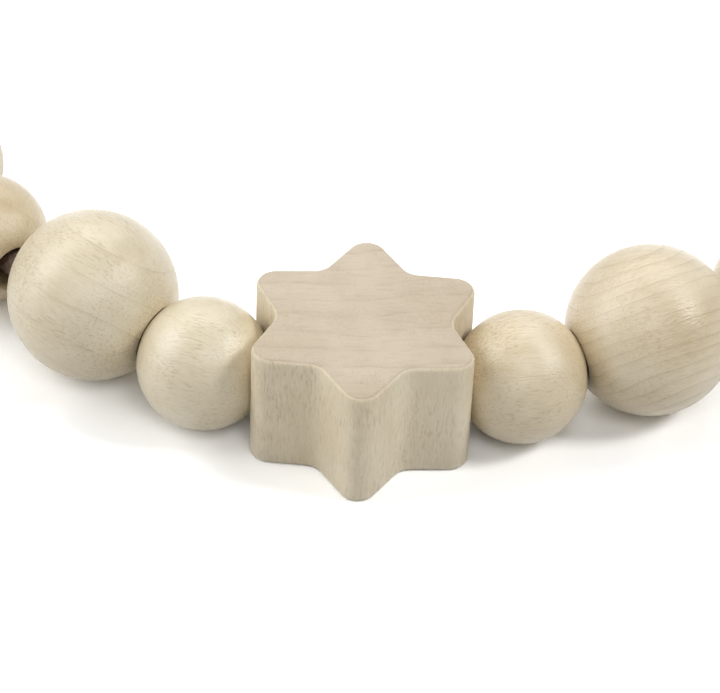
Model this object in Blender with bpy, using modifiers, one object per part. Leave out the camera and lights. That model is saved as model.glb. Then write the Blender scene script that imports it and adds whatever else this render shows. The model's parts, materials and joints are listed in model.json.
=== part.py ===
"""Wooden pacifier chain: a star and round beads on a braided cord, with a clip on a wooden disc.

Metres, +Z up. The origin is the centre of the star's lower face, which rests on the table.
The cord runs along X through the star. The clip end lies to the left, at -X.
"""

from math import atan2, ceil, cos, pi, radians, sin, sqrt

import bmesh
import bpy
from mathutils import Matrix, Vector

# Round beads
LARGE_DIAMETER = 0.0200
SMALL_DIAMETER = 0.0155
BORE_DIAMETER = 0.0048
MOUTH_DIAMETER = 0.0060
LARGE_MOUTH_DIAMETER = 0.0076
MOUTH_DEPTH = 0.0009
BEAD_STEPS = 28
BEAD_ARC_POINTS = 11

# Star bead
STAR_TIPS = 6
STAR_TIP_RADIUS = 0.0160
STAR_NOTCH_RADIUS = 0.0099
STAR_TIP_ROUND = 0.0023
STAR_NOTCH_ROUND = 0.0024
STAR_THICKNESS = 0.0155
STAR_EDGE_ROUND = 0.0006
STAR_SEAT_DEPTH = 0.0005
TIP_ARC_POINTS = 5
NOTCH_ARC_POINTS = 4

# How the beads lie: headings of the links, in degrees from +X about +Z
LEFT_HEADINGS = (146.9, 138.6, 116.0)
RIGHT_HEADINGS = (24.0, 35.2)
CLIP_HEADING = 125.0
SEAT_GAP = 0.0002
RIGHT_SLACK = 0.0003
END_SLACK = 0.0014

# Braided cord
CORD_DIAMETER = 0.0032
CORD_GAP = 0.0004
KNOT_DIAMETER = 0.0082
KNOT_LENGTH = 0.0064
KNOT_TURNS = 3
KNOT_GROOVE = 0.0007
KNOT_WRAP_BEVEL_SHARE = 1 / 3
KNOT_TAIL_TIP_SHARE = 0.7
KNOT_TAIL = 0.0040
KNOT_STEPS = 20
LOOP_REACH = 0.0040
LOOP_ARC_POINTS = 9
LOOP_SIDE_CLEARANCE = 0.0007
LOOP_END_CLEARANCE = 0.0004
LOOP_OPENING_SHARE = 1 / 3

# Clip
DISC_DIAMETER = 0.0300
DISC_THICKNESS = 0.0070
DISC_EDGE_ROUND = 0.0026
DISC_STEPS = 48
DISC_ARC_POINTS = 4
REST_GAP = 0.0003
PLATE_THICKNESS = 0.0010
PLATE_WIDTH = 0.0146
PLATE_FRONT = 0.0128
PLATE_CORNER = 0.0030
EYE_SLOT_LENGTH = 0.0040
EYE_SLOT_WIDTH = 0.0086
EYE_SLOT_CORNER = 0.0012
EYE_BAR = 0.0022
EYE_INSET = 0.0002
EAR_THICKNESS = 0.0010
EAR_LENGTH = 0.0072
EAR_MARGIN = 0.0022
HINGE_X = -0.0010
HINGE_RISE = 0.0036
PIN_DIAMETER = 0.0020
PIN_PLAY = 0.0003
PIN_HEAD_DIAMETER = 0.0034
PIN_HEAD_LENGTH = 0.0006
PIN_STEPS = 20
LEVER_SHEET = 0.0009
LEVER_WIDTH = 0.0114
LEVER_TOP_RISE = 0.0066
LEVER_THUMB_X = -0.0140
LEVER_THUMB_RISE = 0.0098
LEVER_BACK_X = -0.0052
LEVER_SHOULDER_X = 0.0026
LEVER_FOOT_X = 0.0076
LEVER_TIP_X = 0.0126
CHEEK_THICKNESS = 0.0009
CHEEK_RADIUS = 0.0026
PAD_THICKNESS = 0.0018
PAD_LENGTH = 0.0050
PAD_TEETH = 4
PAD_TOOTH_DEPTH = 0.0008
SPRING_WIRE = 0.0007
SPRING_MEAN_RADIUS = 0.0019
SPRING_TURNS = 4
SPRING_PITCH = 0.0013
SPRING_POINTS_A_TURN = 9
SPRING_POINTS_APART = 5
SPRING_RESOLUTION = 1
SPRING_LEG = 0.0056
SCREW_HEAD_DIAMETER = 0.0042
SCREW_HEAD_HEIGHT = 0.0010
SCREW_CROWN_SHARE = 3 / 4
SCREW_RIM_SHARE = 1 / 3
SCREW_SHANK_DIAMETER = 0.0020
SCREW_LENGTH = 0.0050
SCREW_SLOT_WIDTH = 0.0006
SCREW_SLOT_DEPTH = 0.0005
SCREW_STEPS = 20
SCREW_FRONT_X = 0.0048
SCREW_REAR_X = -0.0108

# Shared by all cuts and curves
CUT_OVERRUN = 0.0010
MOUTH_CUTTER_LENGTH = 4 * MOUTH_DEPTH
EDGE_ANGLE_LIMIT = 60
TUBE_RESOLUTION = 2
MERGE = 0.00001
HOLE_STEPS = 24
SLOT_ARC_POINTS = 4

# Worked out from the sizes above
LARGE_RADIUS = LARGE_DIAMETER / 2
SMALL_RADIUS = SMALL_DIAMETER / 2
BORE_RADIUS = BORE_DIAMETER / 2
MOUTH_RADIUS = MOUTH_DIAMETER / 2
LARGE_MOUTH_RADIUS = LARGE_MOUTH_DIAMETER / 2
CORD_RADIUS = CORD_DIAMETER / 2
DISC_RADIUS = DISC_DIAMETER / 2
STAR_HEIGHT = STAR_THICKNESS / 2
PLATE_BASE = DISC_THICKNESS + REST_GAP
PLATE_TOP = PLATE_BASE + PLATE_THICKNESS
PLATE_MIDDLE = PLATE_BASE + PLATE_THICKNESS / 2
LOOP_SPREAD = PLATE_THICKNESS / 2 + LOOP_SIDE_CLEARANCE + CORD_RADIUS
PILOT_DEPTH = SCREW_LENGTH - PLATE_THICKNESS - REST_GAP
SLOT_END_X = -(DISC_RADIUS + EYE_INSET)
BAR_INNER_X = SLOT_END_X - EYE_SLOT_LENGTH
PLATE_REAR_X = BAR_INNER_X - EYE_BAR
HINGE_Z = PLATE_TOP + HINGE_RISE
PIN_RADIUS = PIN_DIAMETER / 2
PIN_HOLE_RADIUS = PIN_RADIUS + PIN_PLAY
LEVER_TOP_Z = PLATE_TOP + LEVER_TOP_RISE
LEVER_THUMB_Z = PLATE_TOP + LEVER_THUMB_RISE
PAD_BASE = PLATE_TOP + REST_GAP
LEVER_FOOT_Z = PAD_BASE + PAD_THICKNESS + REST_GAP + LEVER_SHEET / 2


def clear_scene():
    for item in list(bpy.data.objects):
        bpy.data.objects.remove(item, do_unlink=True)


def make_collection(name):
    group = bpy.data.collections.new(name)
    bpy.context.scene.collection.children.link(group)
    return group


def make_material(name, colour, roughness, metallic):
    material = bpy.data.materials.new(name)
    material.use_nodes = True
    shader = material.node_tree.nodes["Principled BSDF"]
    shader.inputs["Base Color"].default_value = (*colour, 1)
    shader.inputs["Roughness"].default_value = roughness
    shader.inputs["Metallic"].default_value = metallic
    return material


clear_scene()
PARTS = make_collection("wooden_pacifier_chain")
CUTTERS = make_collection("cutters")
BEAD_WOOD = make_material("bead_wood", (0.78, 0.66, 0.50), 0.42, 0)
STAR_WOOD = make_material("star_wood", (0.74, 0.60, 0.46), 0.48, 0)
DISC_WOOD = make_material("disc_wood", (0.76, 0.63, 0.47), 0.45, 0)
CORD_COTTON = make_material("cord_cotton", (0.12, 0.06, 0.02), 0.9, 0)
STEEL = make_material("steel", (0.60, 0.60, 0.62), 0.3, 1)
PAD_PLASTIC = make_material("pad_plastic", (0.82, 0.82, 0.80), 0.5, 0)


def add_object(name, data, material, group=None):
    item = bpy.data.objects.new(name, data)
    (group or PARTS).objects.link(item)
    if material:
        data.materials.append(material)
    return item


def mesh_from(name, build):
    """A mesh datablock that the function `build` fills through a bmesh."""
    shape = bmesh.new()
    build(shape)
    mesh = bpy.data.meshes.new(name)
    shape.to_mesh(mesh)
    shape.free()
    return mesh


def add_joint_frame(name, place, turn=None, parent=None):
    """An empty on a joint's axis, which the moving pieces hang from."""
    frame = bpy.data.objects.new(name, None)
    frame.empty_display_size = BORE_DIAMETER
    PARTS.objects.link(frame)
    frame.parent = parent
    frame.matrix_world = Matrix.Translation(place) @ (turn or Matrix())
    bpy.context.view_layer.update()
    return frame


def hang(item, frame):
    """Parent an object to a joint's empty and leave it where it is."""
    item.parent = frame
    item.matrix_parent_inverse = frame.matrix_world.inverted()
    return item


def heading_vector(heading):
    return Vector((cos(radians(heading)), sin(radians(heading)), 0))


def arc(centre, radius, start, end, count):
    """Points of a flat arc, from angle start to angle end in radians, both ends included."""
    turns = [start + (end - start) * step / (count - 1) for step in range(count)]
    return [(centre[0] + radius * cos(turn), centre[1] + radius * sin(turn)) for turn in turns]


def add_screw_modifier(item, steps):
    screw = item.modifiers.new("turn", "SCREW")
    screw.axis = "Z"
    screw.steps = steps
    screw.render_steps = steps
    screw.use_merge_vertices = True
    screw.merge_threshold = MERGE
    screw.use_smooth_shade = True


def add_turned(name, profile, closed, steps, material, group=None):
    """A turned piece about its own Z, from (radius, height) points down its outer side."""
    def build(shape):
        points = [shape.verts.new((radius, 0, height)) for radius, height in profile]
        for first, second in zip(points, points[1:]):
            shape.edges.new((first, second))
        if closed:
            shape.edges.new((points[-1], points[0]))

    item = add_object(name, mesh_from(name, build), material, group)
    add_screw_modifier(item, steps)
    return item


def point_along(item, place, direction):
    """Stand a turned piece at a place with its own Z along a direction."""
    turn = direction.to_track_quat("Z", "Y").to_matrix().to_4x4()
    item.matrix_world = Matrix.Translation(place) @ turn
    return item


def add_outline_plate(name, points, thickness, material, group=None):
    """A flat plate in its own XY plane, centred on z = 0, from closed outline points."""
    curve = bpy.data.curves.new(name, "CURVE")
    curve.dimensions = "2D"
    curve.fill_mode = "BOTH"
    curve.extrude = thickness / 2
    spline = curve.splines.new("POLY")
    spline.points.add(len(points) - 1)
    for slot, (x, y) in zip(spline.points, points):
        slot.co = (x, y, 0, 1)
    spline.use_cyclic_u = True
    item = add_object(name, curve, material, group)
    return make_mesh_object(item)


def make_mesh_object(item):
    """Turn a curve object into a closed mesh object with the same name and place."""
    bpy.context.view_layer.update()
    seen = item.evaluated_get(bpy.context.evaluated_depsgraph_get())
    mesh = bpy.data.meshes.new_from_object(seen)
    shape = bmesh.new()
    shape.from_mesh(mesh)
    bmesh.ops.remove_doubles(shape, verts=shape.verts, dist=MERGE)
    bmesh.ops.recalc_face_normals(shape, faces=shape.faces)
    shape.to_mesh(mesh)
    shape.free()
    name = item.name
    group = item.users_collection[0]
    place = item.matrix_world.copy()
    materials = list(item.data.materials)
    bpy.data.objects.remove(item, do_unlink=True)
    solid = bpy.data.objects.new(name, mesh)
    group.objects.link(solid)
    solid.matrix_world = place
    if not mesh.materials and materials:
        mesh.materials.append(materials[0])
    return solid


def add_tube(name, points, radius, material):
    """A round tube through the points, with filled caps."""
    curve = bpy.data.curves.new(name, "CURVE")
    curve.dimensions = "3D"
    curve.bevel_depth = radius
    curve.bevel_resolution = TUBE_RESOLUTION
    curve.use_fill_caps = True
    spline = curve.splines.new("POLY")
    spline.points.add(len(points) - 1)
    for slot, point in zip(spline.points, points):
        slot.co = (*point, 1)
    return add_object(name, curve, material)


def boolean(item, other, operation):
    step = item.modifiers.new(operation.lower(), "BOOLEAN")
    step.operation = operation
    step.solver = "EXACT"
    step.object = other
    other.hide_render = True
    other.display_type = "WIRE"


def add_rod_cutter(name, radius, length, place, direction, steps):
    def build(shape):
        bmesh.ops.create_cone(
            shape, cap_ends=True, segments=steps, radius1=radius, radius2=radius, depth=length)

    cutter = add_object(name, mesh_from(name, build), None, CUTTERS)
    return point_along(cutter, place, direction)


def add_cone_cutter(name, narrow, wide, length, place, direction, steps):
    """A cone cutter centred on a place that widens along a direction."""
    def build(shape):
        bmesh.ops.create_cone(
            shape, cap_ends=True, segments=steps, radius1=narrow, radius2=wide, depth=length)

    cutter = add_object(name, mesh_from(name, build), None, CUTTERS)
    return point_along(cutter, place, direction)


def add_ball_cutter(name, radius, place):
    """A ball cutter turned about X."""
    profile = arc((0, 0), radius, pi / 2, -pi / 2, BEAD_ARC_POINTS)
    profile[0] = (0, radius)
    profile[-1] = (0, -radius)
    cutter = add_turned(name, profile, False, BEAD_STEPS, None, CUTTERS)
    return point_along(cutter, place, Vector((1, 0, 0)))


def reach_at(radius, across):
    """How far from a ball's centre its surface lies where it is `across` from its axis."""
    return sqrt(radius ** 2 - across ** 2)


def add_round_bead(name, radius, mouth, place, axis):
    """A turned ball with a through bore that widens to a mouth at both ends."""
    reach = reach_at(radius, mouth)
    edge = atan2(reach, mouth)
    outer = arc((0, 0), radius, edge, -edge, BEAD_ARC_POINTS)
    inner = [(BORE_RADIUS, MOUTH_DEPTH - reach), (BORE_RADIUS, reach - MOUTH_DEPTH)]
    bead = add_turned(name, outer + inner, True, BEAD_STEPS, BEAD_WOOD)
    return point_along(bead, place, axis)


def star_corners():
    """The sharp corners of the star, tips and notches in turn, the first tip along +Y."""
    corners = []
    for step in range(2 * STAR_TIPS):
        turn = pi / 2 + pi * step / STAR_TIPS
        radius = STAR_NOTCH_RADIUS if step % 2 else STAR_TIP_RADIUS
        corners.append(Vector((radius * cos(turn), radius * sin(turn))))
    return corners


def star_outline():
    """The star's outline, each corner rounded by an arc that touches both its sides."""
    corners = star_corners()
    points = []
    for step, corner in enumerate(corners):
        before = (corners[step - 1] - corner).normalized()
        after = (corners[(step + 1) % len(corners)] - corner).normalized()
        tip = step % 2 == 0
        radius = STAR_TIP_ROUND if tip else STAR_NOTCH_ROUND
        count = TIP_ARC_POINTS if tip else NOTCH_ARC_POINTS
        half = before.angle(after) / 2
        centre = corner + (before + after).normalized() * radius / sin(half)
        reach = radius * cos(half) / sin(half)
        start = corner + before * reach - centre
        end = corner + after * reach - centre
        first = atan2(start.y, start.x)
        sweep = (atan2(end.y, end.x) - first + pi) % (2 * pi) - pi
        points += arc(centre, radius, first, first + sweep, count)
    return points


def notch_half_angle():
    """The angle between a notch's sides and the line through its middle."""
    corners = star_corners()
    return (corners[0] - corners[1]).angle(corners[1])


def seat_distance():
    """How far from the star's centre the small beads in its notches have their centres."""
    clear = SMALL_RADIUS + SEAT_GAP
    return STAR_NOTCH_RADIUS + clear / sin(notch_half_angle()) - STAR_SEAT_DEPTH


def add_star():
    """The star with its bore along X, and a cone and a round seat in two of its notches."""
    star = add_outline_plate("star_bead", star_outline(), STAR_THICKNESS, STAR_WOOD)
    star.matrix_world = Matrix.Translation((0, 0, STAR_HEIGHT))
    soften = star.modifiers.new("soft_edges", "BEVEL")
    soften.width = STAR_EDGE_ROUND
    soften.segments = 2
    soften.limit_method = "ANGLE"
    soften.angle_limit = radians(EDGE_ANGLE_LIMIT)
    centre = Vector((0, 0, STAR_HEIGHT))
    along = Vector((1, 0, 0))
    bore = add_rod_cutter(
        "star_bore_cutter", BORE_RADIUS, 2 * STAR_TIP_RADIUS, centre, along, HOLE_STEPS)
    boolean(star, bore, "DIFFERENCE")
    flare = MOUTH_RADIUS - BORE_RADIUS
    for side, sign in (("left", -1), ("right", 1)):
        mouth = centre + along * sign * STAR_NOTCH_RADIUS
        cone = add_cone_cutter(
            f"star_mouth_cutter_{side}", BORE_RADIUS - flare, MOUTH_RADIUS + flare,
            MOUTH_CUTTER_LENGTH, mouth, along * sign, HOLE_STEPS)
        boolean(star, cone, "DIFFERENCE")
        middle = Vector((sign * seat_distance(), 0, SMALL_RADIUS))
        seat = add_ball_cutter(f"star_seat_cutter_{side}", SMALL_RADIUS + SEAT_GAP, middle)
        boolean(star, seat, "DIFFERENCE")
    return star


def link_end(start, heading, length, height):
    """The centre that lies a length away from start, on a heading, at its own height."""
    rise = height - start.z
    flat = sqrt(length ** 2 - rise ** 2)
    return Vector((start.x, start.y, 0)) + heading_vector(heading) * flat + Vector((0, 0, height))


def seated_length():
    """The distance between a small and a large bead where the large one's mouth sits on it."""
    inner = reach_at(SMALL_RADIUS, LARGE_MOUTH_RADIUS)
    return inner + reach_at(LARGE_RADIUS, LARGE_MOUTH_RADIUS) + SEAT_GAP


def middle_heading(first, second):
    return (first + second) / 2


def cord_in_bead(places, step):
    """The cord inside one bead, clear of the bead before it and of its own outer mouth."""
    name, radius, place, axis = places[step]
    start_reach = radius - CORD_GAP
    if step:
        _, before_radius, before, _ = places[step - 1]
        start_reach = (place - before).length - before_radius - CORD_GAP
    points = [place - axis * start_reach, place + axis * (radius - CORD_GAP)]
    return add_tube(name.replace("bead", "cord"), points, CORD_RADIUS, CORD_COTTON)


def add_knot(name, place, direction, tail):
    """A stopper knot: wraps round the cord, with an end that sticks out if it has a tail."""
    radius = KNOT_DIAMETER / 2
    wrap = KNOT_LENGTH / KNOT_TURNS
    bevel = wrap * KNOT_WRAP_BEVEL_SHARE
    shoulder = (radius + CORD_RADIUS) / 2
    profile = []
    if tail:
        tip = KNOT_LENGTH + KNOT_TAIL
        profile += [(0, tip), (CORD_RADIUS * KNOT_TAIL_TIP_SHARE, tip)]
        profile += [(CORD_RADIUS, tip - KNOT_GROOVE), (CORD_RADIUS, KNOT_LENGTH)]
    else:
        profile += [(0, KNOT_LENGTH)]
    for turn in range(KNOT_TURNS):
        top = KNOT_LENGTH - turn * wrap
        edge = shoulder if turn == 0 else radius - KNOT_GROOVE
        low = shoulder if turn == KNOT_TURNS - 1 else radius - KNOT_GROOVE
        profile += [(edge, top), (radius, top - bevel), (radius, top - wrap + bevel)]
        if turn == KNOT_TURNS - 1:
            profile.append((low, 0))
    profile.append((0, 0))
    knot = add_turned(name, profile, False, KNOT_STEPS, CORD_COTTON)
    return point_along(knot, place, direction)


def rounded_rectangle(low_x, high_x, half_width, corner, count):
    """Outline of a rectangle that is symmetric about X, with round corners."""
    points = []
    for x, y, start in (
            (high_x - corner, half_width - corner, 0),
            (low_x + corner, half_width - corner, pi / 2),
            (low_x + corner, corner - half_width, pi),
            (high_x - corner, corner - half_width, 3 * pi / 2)):
        points += arc((x, y), corner, start, start + pi / 2, count)
    return points


def place_in_clip(item, clip_frame, local=None):
    item.parent = clip_frame
    item.matrix_parent_inverse = Matrix()
    item.matrix_basis = local or Matrix()
    return item


def add_clip_disc(clip_frame):
    """The turned wooden disc, which lies face down on the table."""
    inner = DISC_RADIUS - DISC_EDGE_ROUND
    top = DISC_THICKNESS - DISC_EDGE_ROUND
    profile = [(0, DISC_THICKNESS)]
    profile += arc((inner, top), DISC_EDGE_ROUND, pi / 2, 0, DISC_ARC_POINTS)
    profile += arc((inner, DISC_EDGE_ROUND), DISC_EDGE_ROUND, 0, -pi / 2, DISC_ARC_POINTS)
    profile += [(0, 0)]
    disc = add_turned("clip_wooden_disc", profile, False, DISC_STEPS, DISC_WOOD)
    place_in_clip(disc, clip_frame)
    for name, x in (("front", SCREW_FRONT_X), ("rear", SCREW_REAR_X)):
        cutter = add_rod_cutter(
            f"pilot_hole_cutter_{name}", SCREW_SHANK_DIAMETER / 2 + REST_GAP,
            PILOT_DEPTH + CUT_OVERRUN, Vector(), Vector((0, 0, 1)), HOLE_STEPS)
        middle = DISC_THICKNESS + (CUT_OVERRUN - PILOT_DEPTH) / 2
        place_in_clip(cutter, clip_frame, Matrix.Translation((x, 0, middle)))
        boolean(disc, cutter, "DIFFERENCE")
    return disc


def cross_matrix(x, y, z):
    """A place in the clip with local Z turned across it, along the clip's Y."""
    return Matrix.Translation((x, y, z)) @ Matrix.Rotation(-pi / 2, 4, "X")


def add_base_plate(clip_frame):
    """The steel plate: an eye slot at the cord's end and two ears for the hinge pin."""
    outline = rounded_rectangle(
        PLATE_REAR_X, PLATE_FRONT, PLATE_WIDTH / 2, PLATE_CORNER, SLOT_ARC_POINTS)
    plate = add_outline_plate("clip_base_plate", outline, PLATE_THICKNESS, STEEL)
    place_in_clip(plate, clip_frame, Matrix.Translation((0, 0, PLATE_MIDDLE)))
    slot_outline = rounded_rectangle(
        BAR_INNER_X, SLOT_END_X, EYE_SLOT_WIDTH / 2, EYE_SLOT_CORNER, SLOT_ARC_POINTS)
    slot = add_outline_plate(
        "eye_slot_cutter", slot_outline, PLATE_THICKNESS + 2 * CUT_OVERRUN, None, CUTTERS)
    place_in_clip(slot, clip_frame, Matrix.Translation((0, 0, PLATE_MIDDLE)))
    boolean(plate, slot, "DIFFERENCE")
    for name, sign in (("left", 1), ("right", -1)):
        ear = add_ear_shape(f"ear_shape_{name}")
        y = sign * (PLATE_WIDTH - EAR_THICKNESS) / 2
        place_in_clip(ear, clip_frame, cross_matrix(HINGE_X, y, HINGE_Z))
        boolean(plate, ear, "UNION")
    hole = add_rod_cutter(
        "ear_hole_cutter", PIN_HOLE_RADIUS, PLATE_WIDTH + 2 * CUT_OVERRUN,
        Vector(), Vector((0, 0, 1)), HOLE_STEPS)
    place_in_clip(hole, clip_frame, cross_matrix(HINGE_X, 0, HINGE_Z))
    boolean(plate, hole, "DIFFERENCE")
    for name, x in (("front", SCREW_FRONT_X), ("rear", SCREW_REAR_X)):
        bore = add_rod_cutter(
            f"screw_hole_cutter_{name}", SCREW_SHANK_DIAMETER / 2 + REST_GAP,
            PLATE_THICKNESS + 2 * CUT_OVERRUN, Vector(), Vector((0, 0, 1)), HOLE_STEPS)
        place_in_clip(bore, clip_frame, Matrix.Translation((x, 0, PLATE_MIDDLE)))
        boolean(plate, bore, "DIFFERENCE")
    return plate


def add_ear_shape(name):
    """An upright ear, round about the pin, whose foot reaches into the plate."""
    foot = HINGE_RISE + PLATE_THICKNESS / 2
    points = [(-EAR_LENGTH / 2, foot), (EAR_LENGTH / 2, foot)]
    points += arc((0, 0), EAR_MARGIN, 0, -pi, 2 * SLOT_ARC_POINTS)
    return add_outline_plate(name, points, EAR_THICKNESS, STEEL, CUTTERS)


def lever_line():
    """The middle line of the lever's bent sheet, as (x, z) from the thumb end to the tip."""
    return [
        (LEVER_THUMB_X, LEVER_THUMB_Z),
        (LEVER_BACK_X, LEVER_TOP_Z),
        (LEVER_SHOULDER_X, LEVER_TOP_Z),
        (LEVER_FOOT_X, LEVER_FOOT_Z),
        (LEVER_TIP_X, LEVER_FOOT_Z),
    ]


def add_lever(lever_frame):
    """The bent sheet lever with a cheek on each side that the hinge pin passes through."""
    line = [(x - HINGE_X, z - HINGE_Z) for x, z in lever_line()]

    def build(shape):
        half = LEVER_WIDTH / 2
        rows = [[shape.verts.new((x, side * half, z)) for side in (-1, 1)] for x, z in line]
        for first, second in zip(rows, rows[1:]):
            shape.faces.new((first[0], second[0], second[1], first[1]))

    lever = add_object("clip_lever", mesh_from("clip_lever", build), STEEL)
    place_in_clip(lever, lever_frame)
    sheet = lever.modifiers.new("sheet", "SOLIDIFY")
    sheet.thickness = LEVER_SHEET
    sheet.offset = 0
    sheet.use_even_offset = True
    top = LEVER_TOP_Z - HINGE_Z
    for name, sign in (("left", 1), ("right", -1)):
        points = [(LEVER_SHOULDER_X - HINGE_X, -top), (LEVER_BACK_X - HINGE_X, -top)]
        points += arc((0, 0), CHEEK_RADIUS, pi, 0, 2 * SLOT_ARC_POINTS)
        cheek = add_outline_plate(f"cheek_shape_{name}", points, CHEEK_THICKNESS, STEEL, CUTTERS)
        y = sign * (LEVER_WIDTH - CHEEK_THICKNESS) / 2
        place_in_clip(cheek, lever_frame, cross_matrix(0, y, 0))
        boolean(lever, cheek, "UNION")
    hole = add_rod_cutter(
        "cheek_hole_cutter", PIN_HOLE_RADIUS, LEVER_WIDTH + 2 * CUT_OVERRUN,
        Vector(), Vector((0, 0, 1)), HOLE_STEPS)
    place_in_clip(hole, lever_frame, cross_matrix(0, 0, 0))
    boolean(lever, hole, "DIFFERENCE")
    return lever


def add_jaw_pad(lever_frame):
    """The toothed plastic pad under the lever's tip."""
    low = PAD_BASE - HINGE_Z
    high = low + PAD_THICKNESS
    rear = LEVER_TIP_X - PAD_LENGTH - HINGE_X
    tooth = PAD_LENGTH / PAD_TEETH
    points = [(rear, -high), (rear + PAD_LENGTH, -high)]
    for step in range(PAD_TEETH, 0, -1):
        points.append((rear + step * tooth, -low - PAD_TOOTH_DEPTH))
        points.append((rear + (step - 1 / 2) * tooth, -low))
    points.append((rear, -low - PAD_TOOTH_DEPTH))
    pad = add_outline_plate("clip_jaw_pad", points, LEVER_WIDTH, PAD_PLASTIC)
    return place_in_clip(pad, lever_frame, cross_matrix(0, 0, 0))


def add_hinge_pin(clip_frame):
    """The pin with a head outside each ear."""
    half = PLATE_WIDTH / 2 + REST_GAP
    end = half + PIN_HEAD_LENGTH
    head = PIN_HEAD_DIAMETER / 2
    profile = [
        (0, end), (head, end), (head, half), (PIN_RADIUS, half),
        (PIN_RADIUS, -half), (head, -half), (head, -end), (0, -end)]
    pin = add_turned("clip_hinge_pin", profile, False, PIN_STEPS, STEEL)
    return place_in_clip(pin, clip_frame, cross_matrix(HINGE_X, 0, HINGE_Z))


def least_gap(points, thickness, apart):
    """The least space between stretches of one tube that lie at least `apart` points apart."""
    pairs = [(a, b) for i, a in enumerate(points) for b in points[i + apart:]]
    return min((a - b).length for a, b in pairs) - thickness


def add_spring(clip_frame):
    """The torsion spring on the pin: one leg on the plate, the other under the thumb end."""
    half = SPRING_TURNS * SPRING_PITCH / 2
    low_end = -pi / 2
    high_end = pi / 2 + 2 * pi * SPRING_TURNS
    count = ceil(SPRING_POINTS_A_TURN * (SPRING_TURNS + 1 / 2))
    points = []
    for step in range(count + 1):
        turn = low_end + (high_end - low_end) * step / count
        points.append(Vector((
            HINGE_X + SPRING_MEAN_RADIUS * cos(turn),
            2 * half * step / count - half,
            HINGE_Z + SPRING_MEAN_RADIUS * sin(turn))))
    gap = least_gap(points, SPRING_WIRE, SPRING_POINTS_APART)
    print("clip_spring least gap, metres:", round(gap, 6))
    low_leg = points[0] - Vector((SPRING_LEG, 0, 0))
    low_leg.z = PLATE_TOP + REST_GAP + SPRING_WIRE / 2
    high_leg = points[-1] - Vector((SPRING_LEG, 0, 0))
    tube = add_tube("clip_spring", [low_leg] + points + [high_leg], SPRING_WIRE / 2, STEEL)
    tube.data.bevel_resolution = SPRING_RESOLUTION
    return place_in_clip(tube, clip_frame)


def add_screws(clip_frame):
    """The two slotted screws that hold the plate to the wooden disc."""
    head = SCREW_HEAD_DIAMETER / 2
    shank = SCREW_SHANK_DIAMETER / 2
    crown = head * SCREW_CROWN_SHARE
    rim = SCREW_HEAD_HEIGHT * SCREW_RIM_SHARE
    under = REST_GAP
    top = under + SCREW_HEAD_HEIGHT
    end = under - SCREW_LENGTH
    profile = [
        (0, top), (crown, top), (head, under + rim), (head, under),
        (shank, under), (shank, end + shank), (0, end)]
    for name, x in (("front", SCREW_FRONT_X), ("rear", SCREW_REAR_X)):
        screw = add_turned(f"clip_screw_{name}", profile, False, SCREW_STEPS, STEEL)
        place_in_clip(screw, clip_frame, Matrix.Translation((x, 0, PLATE_TOP)))
        reach = head + CUT_OVERRUN
        half = SCREW_SLOT_WIDTH / 2
        outline = [(reach, half), (-reach, half), (-reach, -half), (reach, -half)]
        slot = add_outline_plate(
            f"screw_slot_cutter_{name}", outline, 2 * SCREW_SLOT_DEPTH, None, CUTTERS)
        place_in_clip(slot, clip_frame, Matrix.Translation((x, 0, PLATE_TOP + top)))
        boolean(screw, slot, "DIFFERENCE")


def add_clip(place, heading, parent):
    """The clip, made in its own frame: X along it towards the jaw, Z up, origin under the disc."""
    turn = Matrix.Rotation(radians(heading), 4, "Z")
    clip_frame = add_joint_frame("clip_frame", place, turn, parent)
    lever_place = clip_frame.matrix_world @ Vector((HINGE_X, 0, HINGE_Z))
    lever_frame = add_joint_frame("lever_hinge_frame", lever_place, turn, clip_frame)
    add_clip_disc(clip_frame)
    add_base_plate(clip_frame)
    add_hinge_pin(clip_frame)
    add_spring(clip_frame)
    add_screws(clip_frame)
    add_lever(lever_frame)
    add_jaw_pad(lever_frame)
    return clip_frame


def add_clip_loop(start, heading, bar_centre):
    """The cord's loop: out of the knot, over the eye's bar, down its slot and back."""
    along = heading_vector(heading)
    up = Vector((0, 0, 1))
    pinch = CORD_RADIUS + REST_GAP
    spread = LOOP_SPREAD
    past_bar = EYE_BAR / 2 + LOOP_END_CLEARANCE + CORD_RADIUS
    turn_centre = bar_centre + along * (past_bar - spread)
    near = turn_centre - along * LOOP_REACH * LOOP_OPENING_SHARE
    points = [start + up * pinch, near + up * spread]
    for across, rise in arc((0, 0), spread, pi / 2, -pi / 2, LOOP_ARC_POINTS):
        points.append(turn_centre + along * across + up * rise)
    points += [near - up * spread, start - up * pinch]
    return add_tube("cord_clip_loop", points, CORD_RADIUS, CORD_COTTON)


def build_star_and_middle_cord():
    star = add_star()
    centre = Vector((0, 0, STAR_HEIGHT))
    frame = add_joint_frame("star_spin_frame", centre)
    hang(star, frame)
    reach = Vector((STAR_NOTCH_RADIUS, 0, 0))
    add_tube("cord_star", [centre - reach, centre + reach], CORD_RADIUS, CORD_COTTON)
    return centre


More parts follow.
